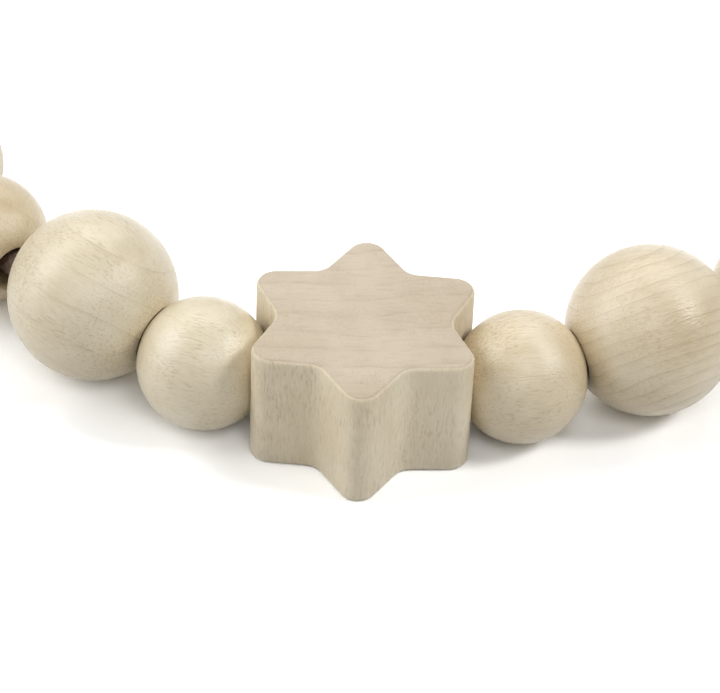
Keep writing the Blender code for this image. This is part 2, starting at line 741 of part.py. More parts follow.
def build_side(side, sign, headings, axes, seat_slack):
    """One side of the chain, from the bead in the star's notch outwards."""
    first = Vector((sign * seat_distance(), 0, SMALL_RADIUS))
    large = link_end(first, headings[0], seated_length() + seat_slack, LARGE_RADIUS)
    slack = SMALL_RADIUS + LARGE_RADIUS + END_SLACK
    outer = link_end(large, headings[1], slack, SMALL_RADIUS)
    places = [(f"small_bead_{side}", SMALL_RADIUS, first, heading_vector(axes[0]))]
    places.append((f"large_bead_{side}", LARGE_RADIUS, large, (large - first).normalized()))
    places.append((f"outer_bead_{side}", SMALL_RADIUS, outer, heading_vector(axes[1])))
    if len(headings) > 2:
        end = link_end(outer, headings[2], 2 * SMALL_RADIUS + SEAT_GAP, SMALL_RADIUS)
        places.append((f"end_bead_{side}", SMALL_RADIUS, end, heading_vector(axes[2])))
    pivots = [first, first, large, outer]
    parent = None
    for step, (name, radius, place, axis) in enumerate(places):
        parent = add_joint_frame(f"bend_frame_{name}", pivots[step], None, parent)
        mouth = LARGE_MOUTH_RADIUS if radius == LARGE_RADIUS else MOUTH_RADIUS
        bead = add_round_bead(name, radius, mouth, place, axis)
        hang(cord_in_bead(places, step), parent)
        spin = add_joint_frame(f"spin_frame_{name}", place, None, parent)
        bpy.context.view_layer.update()
        hang(bead, spin)
    return places, parent


LEFT_AXES = (
    middle_heading(180.0, LEFT_HEADINGS[0]),
    middle_heading(LEFT_HEADINGS[1], LEFT_HEADINGS[2]),
    middle_heading(LEFT_HEADINGS[2], CLIP_HEADING),
)
RIGHT_AXES = (middle_heading(0.0, RIGHT_HEADINGS[0]), RIGHT_HEADINGS[1])


def build_left_end(places, parent):
    """The knot outside the last bead, its loop through the clip's eye, and the clip."""
    _, radius, place, axis = places[-1]
    along = heading_vector(CLIP_HEADING)
    knot_start = place + axis * (radius + REST_GAP)
    hang(add_knot("cord_knot_left", knot_start, along, False), parent)
    loop_start = knot_start + along * (KNOT_LENGTH + REST_GAP)
    bar_centre = loop_start + along * (LOOP_REACH + LOOP_SPREAD)
    bar_centre.z = PLATE_MIDDLE
    hang(add_clip_loop(loop_start, CLIP_HEADING, bar_centre), parent)
    disc_centre = bar_centre - along * (BAR_INNER_X - EYE_BAR / 2)
    disc_centre.z = 0
    add_clip(disc_centre, CLIP_HEADING, parent)


def build_right_end(places, parent):
    """The stopper knot that ends the chain."""
    _, radius, place, axis = places[-1]
    hang(add_knot("cord_knot_right", place + axis * (radius + REST_GAP), axis, True), parent)


build_star_and_middle_cord()
build_left_end(*build_side("left", -1, LEFT_HEADINGS, LEFT_AXES, 0))
build_right_end(*build_side("right", 1, RIGHT_HEADINGS, RIGHT_AXES, RIGHT_SLACK))
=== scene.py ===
"""The looks of the wooden pacifier chain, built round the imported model. Lengths are in metres."""

import json
from math import asin, atan2, cos, floor, pi, radians, sin, sqrt

import bmesh
import bpy
from mathutils import Matrix, Vector

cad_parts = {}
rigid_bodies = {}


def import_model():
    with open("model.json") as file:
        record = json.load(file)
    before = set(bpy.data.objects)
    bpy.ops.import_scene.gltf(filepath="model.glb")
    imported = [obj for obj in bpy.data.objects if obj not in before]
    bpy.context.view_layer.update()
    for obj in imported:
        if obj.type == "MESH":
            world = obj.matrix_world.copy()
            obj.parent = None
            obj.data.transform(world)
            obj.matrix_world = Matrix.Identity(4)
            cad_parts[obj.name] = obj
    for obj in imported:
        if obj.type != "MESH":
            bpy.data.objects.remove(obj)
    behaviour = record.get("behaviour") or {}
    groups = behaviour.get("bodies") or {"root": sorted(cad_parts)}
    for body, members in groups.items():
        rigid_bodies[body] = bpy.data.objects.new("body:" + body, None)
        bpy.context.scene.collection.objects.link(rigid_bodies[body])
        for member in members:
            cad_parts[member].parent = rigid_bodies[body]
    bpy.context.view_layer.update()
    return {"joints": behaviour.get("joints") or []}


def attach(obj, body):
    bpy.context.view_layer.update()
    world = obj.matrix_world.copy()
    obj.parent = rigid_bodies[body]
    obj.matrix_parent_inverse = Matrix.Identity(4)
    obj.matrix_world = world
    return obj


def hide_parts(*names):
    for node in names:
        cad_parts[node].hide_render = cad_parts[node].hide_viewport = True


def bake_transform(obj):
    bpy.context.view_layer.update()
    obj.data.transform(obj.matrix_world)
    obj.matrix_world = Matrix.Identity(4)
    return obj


MM = 0.001
SAME_PLACE = MM / 1000
UP = Vector((0, 0, 1))

# Camera, fitted to the outlines of the beads and the star in the photograph
CAMERA_FOCUS = Vector((-0.379, 4.426, 7.5)) * MM
CAMERA_DISTANCE = 400 * MM
CAMERA_ELEVATION = radians(40.276)
CAMERA_ROLL = radians(2.415)
CAMERA_SENSOR = 36
CAMERA_FOCAL_PIXELS = 3445.5
IMAGE_WIDTH = 720
CAMERA_NEAR = 0.01
CAMERA_FAR = 20

# Round beads
SMALL_RADIUS = 7.75 * MM
LARGE_RADIUS = 10.0 * MM
BORE_RADIUS = 2.4 * MM
MOUTH_RADIUS = 3.0 * MM
MOUTH_DEPTH = 0.9 * MM
MOUTH_ROUND = 0.12 * MM
DISH_ROUND = 0.10 * MM
DISH_GAP = 0.1 * MM
SEAT_GAP = 0.2 * MM
NEIGHBOURS = {"large_bead_left": 16.204 * MM, "large_bead_right": 16.504 * MM}
WOOD_SEGMENTS = 128
BEAD_ARC_POINTS = 56
DISH_POINTS = 9
MOUTH_EDGE_POINTS = 7
BEAD_JOINTS = {
    "small_bead_left": "left_first_spin",
    "large_bead_left": "left_second_spin",
    "outer_bead_left": "left_third_spin",
    "end_bead_left": "left_end_spin",
    "small_bead_right": "right_first_spin",
    "large_bead_right": "right_second_spin",
    "outer_bead_right": "right_end_spin",
}

# Star bead
STAR_TIPS = 6
STAR_TIP_RADIUS = 16.0 * MM
STAR_NOTCH_RADIUS = 9.9 * MM
STAR_TIP_ROUND = 2.3 * MM
STAR_NOTCH_ROUND = 2.4 * MM
STAR_THICKNESS = 15.5 * MM
STAR_EDGE_ROUND = 0.6 * MM
STAR_SEAT_X = 18.269 * MM
STAR_SMOOTH_ANGLE = radians(35)
STAR_END_GRAIN_SHARE = 0.8
STAR_TIP_POINTS = 13
STAR_NOTCH_POINTS = 9
STAR_EDGE_SEGMENTS = 5
STAR_BORE_SEGMENTS = 96

# Braided cord
CORD_RADIUS = 1.6 * MM
BRAID_STRANDS = 8
BRAID_STEP = 1.15 * MM
BRAID_DEPTH_SHARE = 0.13
BRAID_CROSS_SHARE = 0.35
CORD_SIDES = 64
CORD_RING_STEP = 0.14 * MM
CORD_END_SHARE = 0.72
KNOT_RADIUS = 4.1 * MM
KNOT_LENGTH = 6.4 * MM
KNOT_TURNS = 3
KNOT_GAP = 0.3 * MM
KNOT_TAIL = 4.0 * MM
KNOT_RING_STEPS = 150
KNOT_LEAD = 0.35
KNOT_LEAD_DROP = 0.55
LOOP_SPREAD = 2.8 * MM
LOOP_PINCH = 1.9 * MM
LOOP_REACH = 4.0 * MM
LOOP_PAST_BAR = 0.3 * MM
LOOP_START_BACK = 1.4 * MM
LOOP_START_SPREAD = 1.2 * MM
LOOP_BEND_POINTS = 9

# Spots of the cords in the beads' bores, as (distance along the bore, rise across it) in mm
INNER_CORDS = (("small", "first", ((-7.35, 0), (7.35, 0))), ("large", "second", ((-8.05, 0), (4.0, 0))))
FROM_LARGE = ((3.0, -0.6), (7.0, -0.6), (9.2, -1.7))
INTO_SMALL = ((-7.3, 1.0), (-4.5, 0.6), (0, 0))
FROM_SMALL = ((5.0, 0), (7.0, 0))
INTO_END = ((-7.2, 0), (-5.0, 0), (5.0, 0))
STOP_IN_BORE = ((5.5, 0),)
STOP_AT_KNOT = ((8.2, 0),)
# Stretches given as distances from the inner bead's middle, listed with each crossing
LARGE_BLEND = (9.8 * MM, 11.9 * MM)
SMALL_BLEND = (7.4 * MM, 8.5 * MM)
CROSSINGS = (
    ("braided_cord_left", "outer_cord_left", "left_second", "left_third",
     FROM_LARGE, INTO_SMALL + STOP_IN_BORE, LARGE_BLEND),
    ("braided_cord_left_end", "end_cord_left", "left_third", "left_end",
     FROM_SMALL, INTO_END + STOP_AT_KNOT, SMALL_BLEND),
    ("braided_cord_right", "outer_cord_right", "right_second", "right_end",
     FROM_LARGE, INTO_SMALL + STOP_AT_KNOT, LARGE_BLEND),
)

# Clip, in its own frame: X along it towards the jaw, Z up, origin under the disc
CLIP_HEADING = radians(125)
CLIP_WAY = Vector((cos(CLIP_HEADING), sin(CLIP_HEADING), 0))
CLIP_SMOOTH_ANGLE = radians(32)
CLIP_BAR_X = -20.3 * MM
DISC_RADIUS = 15.0 * MM
DISC_THICKNESS = 7.0 * MM
DISC_EDGE_ROUND = 2.6 * MM
DISC_EDGE_POINTS = 14
PLATE_MIDDLE = 7.8 * MM
PLATE_TOP = 8.3 * MM
PLATE_THICKNESS = 1.0 * MM
PLATE_REAR_X = -21.4 * MM
PLATE_FRONT_X = 12.8 * MM
PLATE_WIDTH = 14.6 * MM
PLATE_CORNER = 3.0 * MM
EYE_REAR_X = -19.2 * MM
EYE_FRONT_X = -15.2 * MM
EYE_WIDTH = 8.6 * MM
EYE_CORNER = 1.2 * MM
HINGE_X = -1.0 * MM
HINGE_Z = 11.9 * MM
EAR_THICKNESS = 1.0 * MM
EAR_LENGTH = 7.2 * MM
EAR_RADIUS = 2.2 * MM
EAR_INSET = 0.03 * MM
PIN_RADIUS = 1.0 * MM
PIN_HOLE_RADIUS = 1.3 * MM
PIN_HEAD_RADIUS = 1.7 * MM
PIN_HALF = 7.6 * MM
PIN_HEAD_LENGTH = 0.6 * MM
PIN_RIM_SHARE = 0.3
PIN_EDGE = 0.05 * MM
PIN_DOME_POINTS = 13
HEAD_SEGMENTS = 64
LEVER_LINE = [(-14.0, 18.1), (-5.2, 14.9), (2.6, 14.9), (7.6, 11.15), (12.6, 11.15)]
LEVER_BENDS = (0, 3.0, 1.6, 1.4, 0)
LEVER_BEND_POINTS = 9
LEVER_SHEET = 0.9 * MM
LEVER_WIDTH = 11.4 * MM
LEVER_TOP_Z = 14.9 * MM
LEVER_BACK_X = -5.2 * MM
LEVER_SHOULDER_X = 2.6 * MM
LEVER_THUMB_CORNER = 3.2 * MM
LEVER_TIP_CORNER = 1.0 * MM
LEVER_THUMB_POINTS = 15
LEVER_MIDDLE_POINTS = 91
LEVER_TIP_POINTS = 11
LEVER_SOFT_SHARE = 0.98
LEVER_SOFT_POINTS = 5
CHEEK_THICKNESS = 0.9 * MM
CHEEK_RADIUS = 2.6 * MM
PAD_BASE = 8.6 * MM
PAD_THICKNESS = 1.8 * MM
PAD_REAR_X = 7.6 * MM
PAD_LENGTH = 5.0 * MM
PAD_TEETH = 4
PAD_TOOTH_DEPTH = 0.8 * MM
PAD_CORNER = 0.3 * MM
PAD_ROOT_ROUND = 0.12 * MM
PAD_TIP_ROUND = 0.14 * MM
PAD_CORNER_POINTS = 5
PAD_SOFT = 0.12 * MM
SHEET_SOFT = 0.22 * MM
SHEET_SOFT_STEPS = 2
SHEET_CORNER_POINTS = 8
SHEET_ARC_POINTS = 24
HOLE_POINTS = 48
SPRING_WIRE_RADIUS = 0.35 * MM
SPRING_MEAN_RADIUS = 1.9 * MM
SPRING_TURNS = 4
SPRING_PITCH = 1.3 * MM
SPRING_LEG = 5.6 * MM
SPRING_LEG_GAP = 0.3 * MM
SPRING_LEG_STEPS = 12
SPRING_TURN_STEPS = 28
SPRING_SIDES = 20
SPRING_SMOOTH_ANGLE = radians(50)
SCREW_PLACES = {"clip_screw_front": 4.8 * MM, "clip_screw_rear": -10.8 * MM}
SCREW_HEAD_RADIUS = 2.1 * MM
SCREW_HEAD_HEIGHT = 1.0 * MM
SCREW_SHANK_RADIUS = 1.0 * MM
SCREW_LENGTH = 5.0 * MM
SCREW_GAP = 0.3 * MM
SCREW_SLOT_WIDTH = 0.6 * MM
SCREW_SLOT_DEPTH = 0.5 * MM
SCREW_EDGE = 0.06 * MM
SCREW_DOME_POINTS = 15

# Colours as screen values from 0 to 255. A wood has a light, a dark and a line colour
LINE_COLOUR = (156, 130, 90)
PALE_WOOD = ((224, 213, 187), (205, 190, 157), LINE_COLOUR)
WARM_WOOD = ((224, 210, 182), (204, 186, 150), LINE_COLOUR)
GOLDEN_WOOD = ((218, 202, 168), (194, 174, 136), LINE_COLOUR)
STAR_TOP_WOOD = ((207, 194, 174), (195, 180, 158), (152, 131, 108))
STAR_SIDE_WOOD = ((233, 222, 197), (220, 206, 178), (168, 145, 113))
# Painted shade in the bores, with some wood scorched by drilling
BORE_SCORCH_AND_SHADE_COLOUR = (84, 58, 32)
CORD_LIGHT = (82, 55, 29)
CORD_DARK = (47, 29, 13)
PAD_COLOUR = (224, 222, 216)
# Steel and floor colours as linear values
STEEL_DARK = (0.42, 0.415, 0.405, 1)
STEEL_LIGHT = (0.47, 0.465, 0.455, 1)
FLOOR_LIT = (0.64, 0.64, 0.64, 1)
FLOOR_SHOWN = (0.98, 0.98, 0.98, 1)
FLOOR_LIFT = (0.33, 0.34, 0.35, 1)

# Noise in the wood: how fast it changes across, beside and along the grain, per mm
SLOW_WAVES = (0.10, 0.10, 0.045)
QUICK_WAVES = (0.7, 0.7, 0.16)
UNEVEN_LINES = (0.30, 0.30, 0.09)
DASH_WOBBLE = (0.5, 0.5, 0.5)
DASHES = (4.2, 4.2, 0.6)
DASH_PATCHES = (0.16, 0.16, 0.12)
FIBRES = (7.0, 7.0, 0.9)
CLOUDS = (0.11, 0.11, 0.07)
STREAKS = (2.4, 0.32, 0.32)
# Noise in the other materials, per metre
CORD_FIBRES = 6000
CORD_PATCHES = 500
STEEL_STREAKS = (600, 600, 6000)
PAD_GRIT = 5000

# How strongly the wood's noise shifts and shades it
SLOW_SHIFT = 2.4
QUICK_SHIFT = 0.35
DASH_SHIFT = 0.6
PALE_DASH = 0.45
DARK_DASH = 0.42
DASH_HEIGHT = 1.1
FIBRE_HEIGHT = 0.45
LINE_HEIGHT = 0.2
WOOD_BUMP = 0.06 * MM
COAT_ROUGHNESS = 0.18
# Painted shade in the bores, with some scorched wood: its strength at the axis, and the share of the
# mouth's width where it ends
BORE_SCORCH_AND_SHADE = 0.7
BORE_SCORCH_AND_SHADE_END = 0.515
# A growth line's strength at some line widths before its layer ends
LINE_PROFILE = ((3.5, 0.0), (1.2, 0.35), (0.55, 1.0))

# Each bead's turn, in degrees, puts its growth layers edge-on to the camera, as in the photograph
WOODS = {
    "small_bead_left": dict(colours=PALE_WOOD, turn=-108, offset=(1.3, 7.0, 3.0), spacing=3.6,
                            lines=0.12, flecks=1.0),
    "small_bead_right": dict(colours=WARM_WOOD, turn=-70, offset=(4.1, -6.0, 9.0), spacing=3.2,
                             lines=0.10, flecks=1.15),
    "large_bead_left": dict(colours=PALE_WOOD, turn=-127.5, offset=(0.4, 5.0, -7.0), spacing=3.6,
                            lines=0.42, flecks=1.15, wander=0.3, line_width=0.22, curve=-0.006),
    "large_bead_right": dict(colours=WARM_WOOD, turn=-50.6, offset=(2.2, -4.0, 5.0), spacing=1.25,
                             lines=0.42, flecks=0.7, wander=0.7, line_width=0.2, curve=-0.022),
    "outer_bead_left": dict(colours=GOLDEN_WOOD, turn=-140, offset=(9.0, 3.0, 1.0), spacing=1.9,
                            lines=0.3, flecks=0.9),
    "outer_bead_right": dict(colours=WARM_WOOD, turn=-50, offset=(6.0, 2.0, -3.0), spacing=1.6,
                             lines=0.3, flecks=0.5),
    "end_bead_left": dict(colours=GOLDEN_WOOD, turn=-150, offset=(-5.0, 2.5, 6.0), spacing=2.2,
                          lines=0.3, flecks=0.6),
    "star_sides": dict(colours=STAR_SIDE_WOOD, turn=88, offset=(3.0, 2.0, 1.0), spacing=2.4,
                       lines=0.10, flecks=0.9, gloss=0.10, shine=0.35),
    "star_ends": dict(colours=STAR_TOP_WOOD, turn=86, offset=(3.0, 2.0, 1.0), spacing=3.0,
                      lines=0.26, flecks=0.5, wander=0.5, line_width=0.45, curve=0.004,
                      gloss=0.0, shine=0.2, streaks=0.15),
    "disc": dict(colours=PALE_WOOD, turn=20, offset=(2.0, 3.0, 4.0), spacing=1.7,
                 lines=0.45, flecks=0.6, curve=0.02),
}

# Studio: lamps as name, place, width, depth and power in watts, all aimed at the origin
LAMPS = (
    ("overhead", (0, 0, 0.8), 0.8, 0.8, 0.25),
    ("back", (0, 0.55, 0.6), 0.7, 0.5, 2.8),
    ("left_high", (-0.6, 0.1, 0.55), 0.5, 0.5, 2.35),
    ("left_low", (-0.47, -0.03, 0.165), 0.29, 0.24, 0.68),
    ("left_front", (-0.55, -0.55, 0.3), 0.5, 0.4, 0.25),
    ("front_high", (0.08, -0.5, 0.66), 0.4, 0.4, 1.85),
    ("right_high", (0.62, -0.06, 0.64), 0.2, 0.22, 3.5),
)
FLOOR_SIZE = 4
AMBIENT_STRENGTH = 0.03
WHITE_STRENGTH = 1.0


for item in list(bpy.data.objects):
    bpy.data.objects.remove(item, do_unlink=True)
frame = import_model()
JOINTS = {joint["name"]: joint for joint in frame["joints"]}


# Shapes

def new_object(name, data, place=None):
    """An object at a place. The place's turn goes into the mesh, so that its box stays true."""
    item = bpy.data.objects.new(name, data)
    bpy.context.scene.collection.objects.link(item)
    if place is not None:
        data.transform(place.to_3x3().to_4x4())
        item.matrix_world = Matrix.Translation(place.translation)
    return item


def bake(name, shape):
    mesh = bpy.data.meshes.new(name)
    shape.to_mesh(mesh)
    shape.free()
    return mesh


def mesh_of(name, shape, smooth_angle=None):
    """A smooth mesh from a bmesh, with sharp edges past an angle if one is given."""
    bmesh.ops.recalc_face_normals(shape, faces=shape.faces)
    mesh = bake(name, shape)
    mesh.shade_smooth()
    if smooth_angle is not None:
        mesh.set_sharp_from_angle(angle=smooth_angle)
    return mesh


def evaluated_mesh(item):
    bpy.context.view_layer.update()
    seen = item.evaluated_get(bpy.context.evaluated_depsgraph_get())
    return bpy.data.meshes.new_from_object(seen)


def spread(start, end, count):
    """Evenly spaced values from start to end."""
    return [start + (end - start) * step / (count - 1) for step in range(count)]


def arc(centre, radius, start, end, count):
    turns = spread(start, end, count)
    return [(centre[0] + radius * cos(turn), centre[1] + radius * sin(turn)) for turn in turns]


def turned_mesh(name, profile, segments, closed):
    """A mesh turned about Z from (radius, height) points; points on the axis become one vertex."""
    shape = bmesh.new()
    turns = [2 * pi * step / segments for step in range(segments)]
    rings = []
    for radius, height in profile:
        if radius < SAME_PLACE:
            rings.append([shape.verts.new((0, 0, height))])
        else:
            rings.append([shape.verts.new((radius * cos(turn), radius * sin(turn), height))
                          for turn in turns])
    pairs = list(zip(rings, rings[1:]))
    if closed:
        pairs.append((rings[-1], rings[0]))
    for upper, lower in pairs:
        for step in range(segments):
            after = (step + 1) % segments
            if len(upper) == 1:
                shape.faces.new((upper[0], lower[step], lower[after]))
            elif len(lower) == 1:
                shape.faces.new((upper[step], lower[0], upper[after]))
            else:
                shape.faces.new((upper[step], lower[step], lower[after], upper[after]))
    return mesh_of(name, shape)


def join_rings(shape, rings):
    """Faces between neighbouring rings of vertices, and one over each end."""
    for upper, lower in zip(rings, rings[1:]):
        for step in range(len(upper)):
            after = (step + 1) % len(upper)
            shape.faces.new((upper[step], lower[step], lower[after], upper[after]))
    shape.faces.new(rings[0])
    shape.faces.new(list(reversed(rings[-1])))


def rounded_corner(before, corner, after, radius, count):
    """Points of an arc that rounds a corner of a flat outline."""
    before, corner, after = Vector(before), Vector(corner), Vector(after)
    first = (before - corner).normalized()
    second = (after - corner).normalized()
    half = first.angle(second) / 2
    centre = corner + (first + second).normalized() * radius / sin(half)
    start = corner + first * radius * cos(half) / sin(half) - centre
    end = corner + second * radius * cos(half) / sin(half) - centre
    turn = atan2(start.y, start.x)
    sweep = (atan2(end.y, end.x) - turn + pi) % (2 * pi) - pi
    return arc(centre, radius, turn, turn + sweep, count)


def dish_points(neighbour):
    """A large bead's mouth, from the bore to its edge, as a dish round a small bead."""
    seat = SMALL_RADIUS + DISH_GAP
    edge_height = (LARGE_RADIUS ** 2 - seat ** 2 + neighbour ** 2) / (2 * neighbour)
    mouth = sqrt(LARGE_RADIUS ** 2 - edge_height ** 2)
    turns = spread(asin(BORE_RADIUS / seat), asin(mouth / seat), DISH_POINTS)
    return [(seat * sin(turn), neighbour - seat * cos(turn)) for turn in turns]


def cone_points():
    """A small bead's mouth, from the bore to its edge."""
    height = sqrt(SMALL_RADIUS ** 2 - MOUTH_RADIUS ** 2)
    return [(BORE_RADIUS, height - MOUTH_DEPTH), (MOUTH_RADIUS, height)]


def bead_profile(radius, inner, softness):
    """Down the outside from the upper mouth, round the mouth's edge and up through the bore."""
    mouth, mouth_height = inner[-1]
    edge_turn = atan2(mouth_height, mouth) - 2 * softness / radius
    near = radius * cos(edge_turn), radius * sin(edge_turn)
    edge = rounded_corner(inner[-2], inner[-1], near, softness, MOUTH_EDGE_POINTS)
    low_turn = atan2(near[1], near[0])
    outside = arc((0, 0), radius, low_turn, -low_turn, BEAD_ARC_POINTS)
    upper = inner[:-1] + edge
    lower = [(x, -y) for x, y in reversed(upper)]
    return upper + outside + lower + [(BORE_RADIUS, 0)]


def along_axis(place, axis):
    """A frame at a place whose Z runs along an axis and whose X lies level."""
    z = Vector(axis).normalized()
    x = UP.cross(z).normalized()
    y = z.cross(x)
    turn = Matrix((x, y, z)).transposed().to_4x4()
    return Matrix.Translation(place) @ turn


def bead_frame(joint_name):
    """A frame at a bead's middle whose Z runs outwards along its bore."""
    joint = JOINTS[joint_name]
    return along_axis(joint["pos_m"], joint["axis"])


def add_bead(node, joint_name):
    joint = JOINTS[joint_name]
    place = bead_frame(joint_name)
    if node in NEIGHBOURS:
        profile = bead_profile(LARGE_RADIUS, dish_points(NEIGHBOURS[node]), DISH_ROUND)
    else:
        profile = bead_profile(SMALL_RADIUS, cone_points(), MOUTH_ROUND)
    mesh = turned_mesh(node, profile, WOOD_SEGMENTS, True)
    # The bead's bore gets painted shade, with some wood scorched by drilling
    mesh.materials.append(wood_material(node, axes=place, bore_scorch_and_shade=True, **WOODS[node]))
    bead = new_object(f"{node}_turned", mesh, place)
    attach(bead, joint["child"])
    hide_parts(node)


# Materials

class Nodes:
    """A short way to add and join shader nodes in one material."""

    def __init__(self, name):
        self.material = bpy.data.materials.new(name)
        self.material.use_nodes = True
        self.tree = self.material.node_tree
        self.shader = self.tree.nodes["Principled BSDF"]

    def add(self, kind, inputs=(), **settings):
        node = self.tree.nodes.new(kind)
        for key, value in settings.items():
            setattr(node, key, value)
        for socket, value in dict(inputs).items():
            self.set(node.inputs[socket], value)
        return node

    def set(self, socket, value):
        if isinstance(value, bpy.types.NodeSocket):
            self.tree.links.new(value, socket)
        else:
            socket.default_value = value

    def shade(self, inputs):
        """Give the material's own shader its inputs."""
        for socket, value in inputs.items():
            self.set(self.shader.inputs[socket], value)

    def place(self):
        return self.add("ShaderNodeTexCoord").outputs["Object"]

    def math(self, operation, first, second=0.0):
        return self.add("ShaderNodeMath", {0: first, 1: second}, operation=operation).outputs[0]

    def times(self, first, second):
        return self.math("MULTIPLY", first, second)

    def noise(self, vector, scale, detail=2.0, roughness=0.5):
        node = self.add("ShaderNodeTexNoise", {
            "Vector": vector, "Scale": scale, "Detail": detail, "Roughness": roughness})
        return node.outputs["Fac"]

    def ramp(self, value, stops):
        """A grey for a value. Each stop is (value, brightness)."""
        node = self.add("ShaderNodeValToRGB", {"Fac": value})
        points = node.color_ramp.elements
        while len(points) < len(stops):
            points.new(1)
        for point, (place, grey) in zip(points, stops):
            point.position = place
            point.color = (grey, grey, grey, 1)
        return node.outputs["Color"]

    def mix(self, factor, first, second):
        inputs = {0: factor, 6: first, 7: second}
        return self.add("ShaderNodeMix", inputs, data_type="RGBA").outputs[2]

    def stretch(self, vector, scale):
        return self.add("ShaderNodeMapping", {"Vector": vector, "Scale": scale}).outputs[0]

    def bump(self, height, strength, distance):
        return self.add("ShaderNodeBump", {
            "Height": height, "Strength": strength, "Distance": distance}).outputs[0]


def linear(colour):
    """A colour given as screen values from 0 to 255, as linear values with full cover."""
    shares = [value / 255 for value in colour]
    return (*[share / 12.92 if share <= 0.04045 else ((share + 0.055) / 1.055) ** 2.4
              for share in shares], 1)


def wood_material(name, colours, turn, offset, spacing, lines, flecks, axes=Matrix(), curve=0.01,
                  line_width=0.25, wander=0.6, gloss=0.55, shine=0.65, streaks=0.0, bore_scorch_and_shade=False):
    """Pale close-grained wood. The grain runs along the Z of axes.

    turn aims the growth layers about that Z, in degrees. offset is the piece's place in its plank,
    spacing the layers' mean thickness and line_width that of their dark edges, in mm. curve is how
    much the layers bend, per mm, and wander how uneven they are. lines, flecks and streaks are how
    strongly the growth lines, the dashes and the streaks show. Bored wood gets painted shade near
    the bore's axis, with some wood scorched by drilling.
    """
    n = Nodes(f"wood_{name}")
    place = n.place()
    light, dark, line = [linear(colour) for colour in colours]
    aim = (Matrix.Rotation(radians(turn), 3, "Z") @ axes.to_3x3().transposed()).to_euler()

    def in_grain(location):
        return n.add("ShaderNodeMapping", {
            "Vector": place, "Rotation": aim, "Scale": (1 / MM, 1 / MM, 1 / MM),
            "Location": location}).outputs[0]

    def noise(rates, detail=2.0, roughness=0.5):
        return n.noise(n.stretch(grain, rates), 1.0, detail, roughness)

    grain = in_grain(offset)
    parts = n.add("ShaderNodeSeparateXYZ", {"Vector": grain}).outputs
    across, beside = parts["X"], parts["Y"]

    # Growth layers: flat sheets, a little bent and uneven, each with a darker edge
    slow = n.math("SUBTRACT", noise(SLOW_WAVES), 0.5)
    quick = n.math("SUBTRACT", noise(QUICK_WAVES), 0.5)
    layer = n.math("ADD", across, n.times(n.times(beside, beside), curve))
    layer = n.math("ADD", layer, n.times(slow, SLOW_SHIFT * wander * spacing))
    layer = n.math("ADD", layer, n.times(quick, QUICK_SHIFT * wander))
    within = n.math("FRACT", n.math("DIVIDE", layer, spacing))
    width = line_width / spacing
    stops = [(1 - before * width, strength) for before, strength in LINE_PROFILE]
    ring = n.ramp(within, [(0.0, 0.0), *stops, (1.0, 0.0)])
    ring = n.times(ring, n.ramp(noise(UNEVEN_LINES), [(0.34, 0.15), (0.66, 1.0)]))

    # Short dashes along the grain, in patches, and finer fibres
    wobble = n.add("ShaderNodeTexNoise", {
        "Vector": n.stretch(grain, DASH_WOBBLE), "Scale": 1.0, "Detail": 1.0})
    shift = n.add("ShaderNodeVectorMath", {
        0: wobble.outputs["Color"], "Scale": DASH_SHIFT}, operation="SCALE")
    waved = n.add("ShaderNodeVectorMath", {0: grain, 1: shift.outputs[0]}, operation="ADD")
    dash = n.noise(n.stretch(waved.outputs[0], DASHES), 1.0, 2.0, 0.6)
    patch = n.ramp(noise(DASH_PATCHES), [(0.38, 0.25), (0.62, 1.0)])
    fibre = noise(FIBRES, 3.0, 0.6)
    dark_dash = n.times(n.ramp(dash, [(0.35, 1.0), (0.46, 0.0)]), patch)
    pale_dash = n.times(n.ramp(dash, [(0.54, 0.0), (0.66, 1.0)]), patch)

    cloud = n.ramp(noise(CLOUDS, 3.0, 0.6), [(0.34, 0.0), (0.66, 1.0)])
    body = n.mix(cloud, light, dark)
    body = n.mix(n.times(pale_dash, PALE_DASH * flecks), body, light)
    body = n.mix(n.times(dark_dash, DARK_DASH * flecks), body, line)
    body = n.mix(n.ramp(fibre, [(0.36, 0.10), (0.60, 0.0)]), body, line)
    body = n.mix(n.times(ring, lines), body, line)
    if streaks:
        streak = noise(STREAKS, 3.0, 0.65)
        dark_streak = n.ramp(streak, [(0.34, 1.0), (0.48, 0.0)])
        pale_streak = n.ramp(streak, [(0.54, 0.0), (0.68, 1.0)])
        body = n.mix(n.times(dark_streak, streaks), body, line)
        body = n.mix(n.times(pale_streak, streaks), body, light)
    # Painted shade in the bore, with some wood scorched by drilling: darker towards the bore's axis
    if bore_scorch_and_shade:
        flat = n.add("ShaderNodeVectorMath", {0: in_grain((0, 0, 0)), 1: (1, 1, 0)},
                     operation="MULTIPLY")
        from_axis = n.add("ShaderNodeVectorMath", {0: flat.outputs[0]}, operation="LENGTH")
        share = n.math("DIVIDE", from_axis.outputs["Value"], 2 * MOUTH_RADIUS / MM)
        inside = n.ramp(share, [(BORE_RADIUS / MOUTH_RADIUS / 2, BORE_SCORCH_AND_SHADE), (BORE_SCORCH_AND_SHADE_END, 0.0)])
        body = n.mix(inside, body, linear(BORE_SCORCH_AND_SHADE_COLOUR))
    height = n.math("ADD", n.times(dash, DASH_HEIGHT), n.times(fibre, FIBRE_HEIGHT))
    height = n.math("SUBTRACT", height, n.times(ring, LINE_HEIGHT))
    n.shade({
        "Base Color": body,
        "Roughness": n.ramp(fibre, [(0.3, 0.50), (0.7, 0.36)]),
        "Specular IOR Level": shine,
        "Coat Weight": gloss,
        "Coat Roughness": COAT_ROUGHNESS,
        "Normal": n.bump(height, 0.8, WOOD_BUMP),
        "Coat Normal": n.bump(n.math("ADD", fibre, dash), 1.0, WOOD_BUMP),
    })
    return n.material


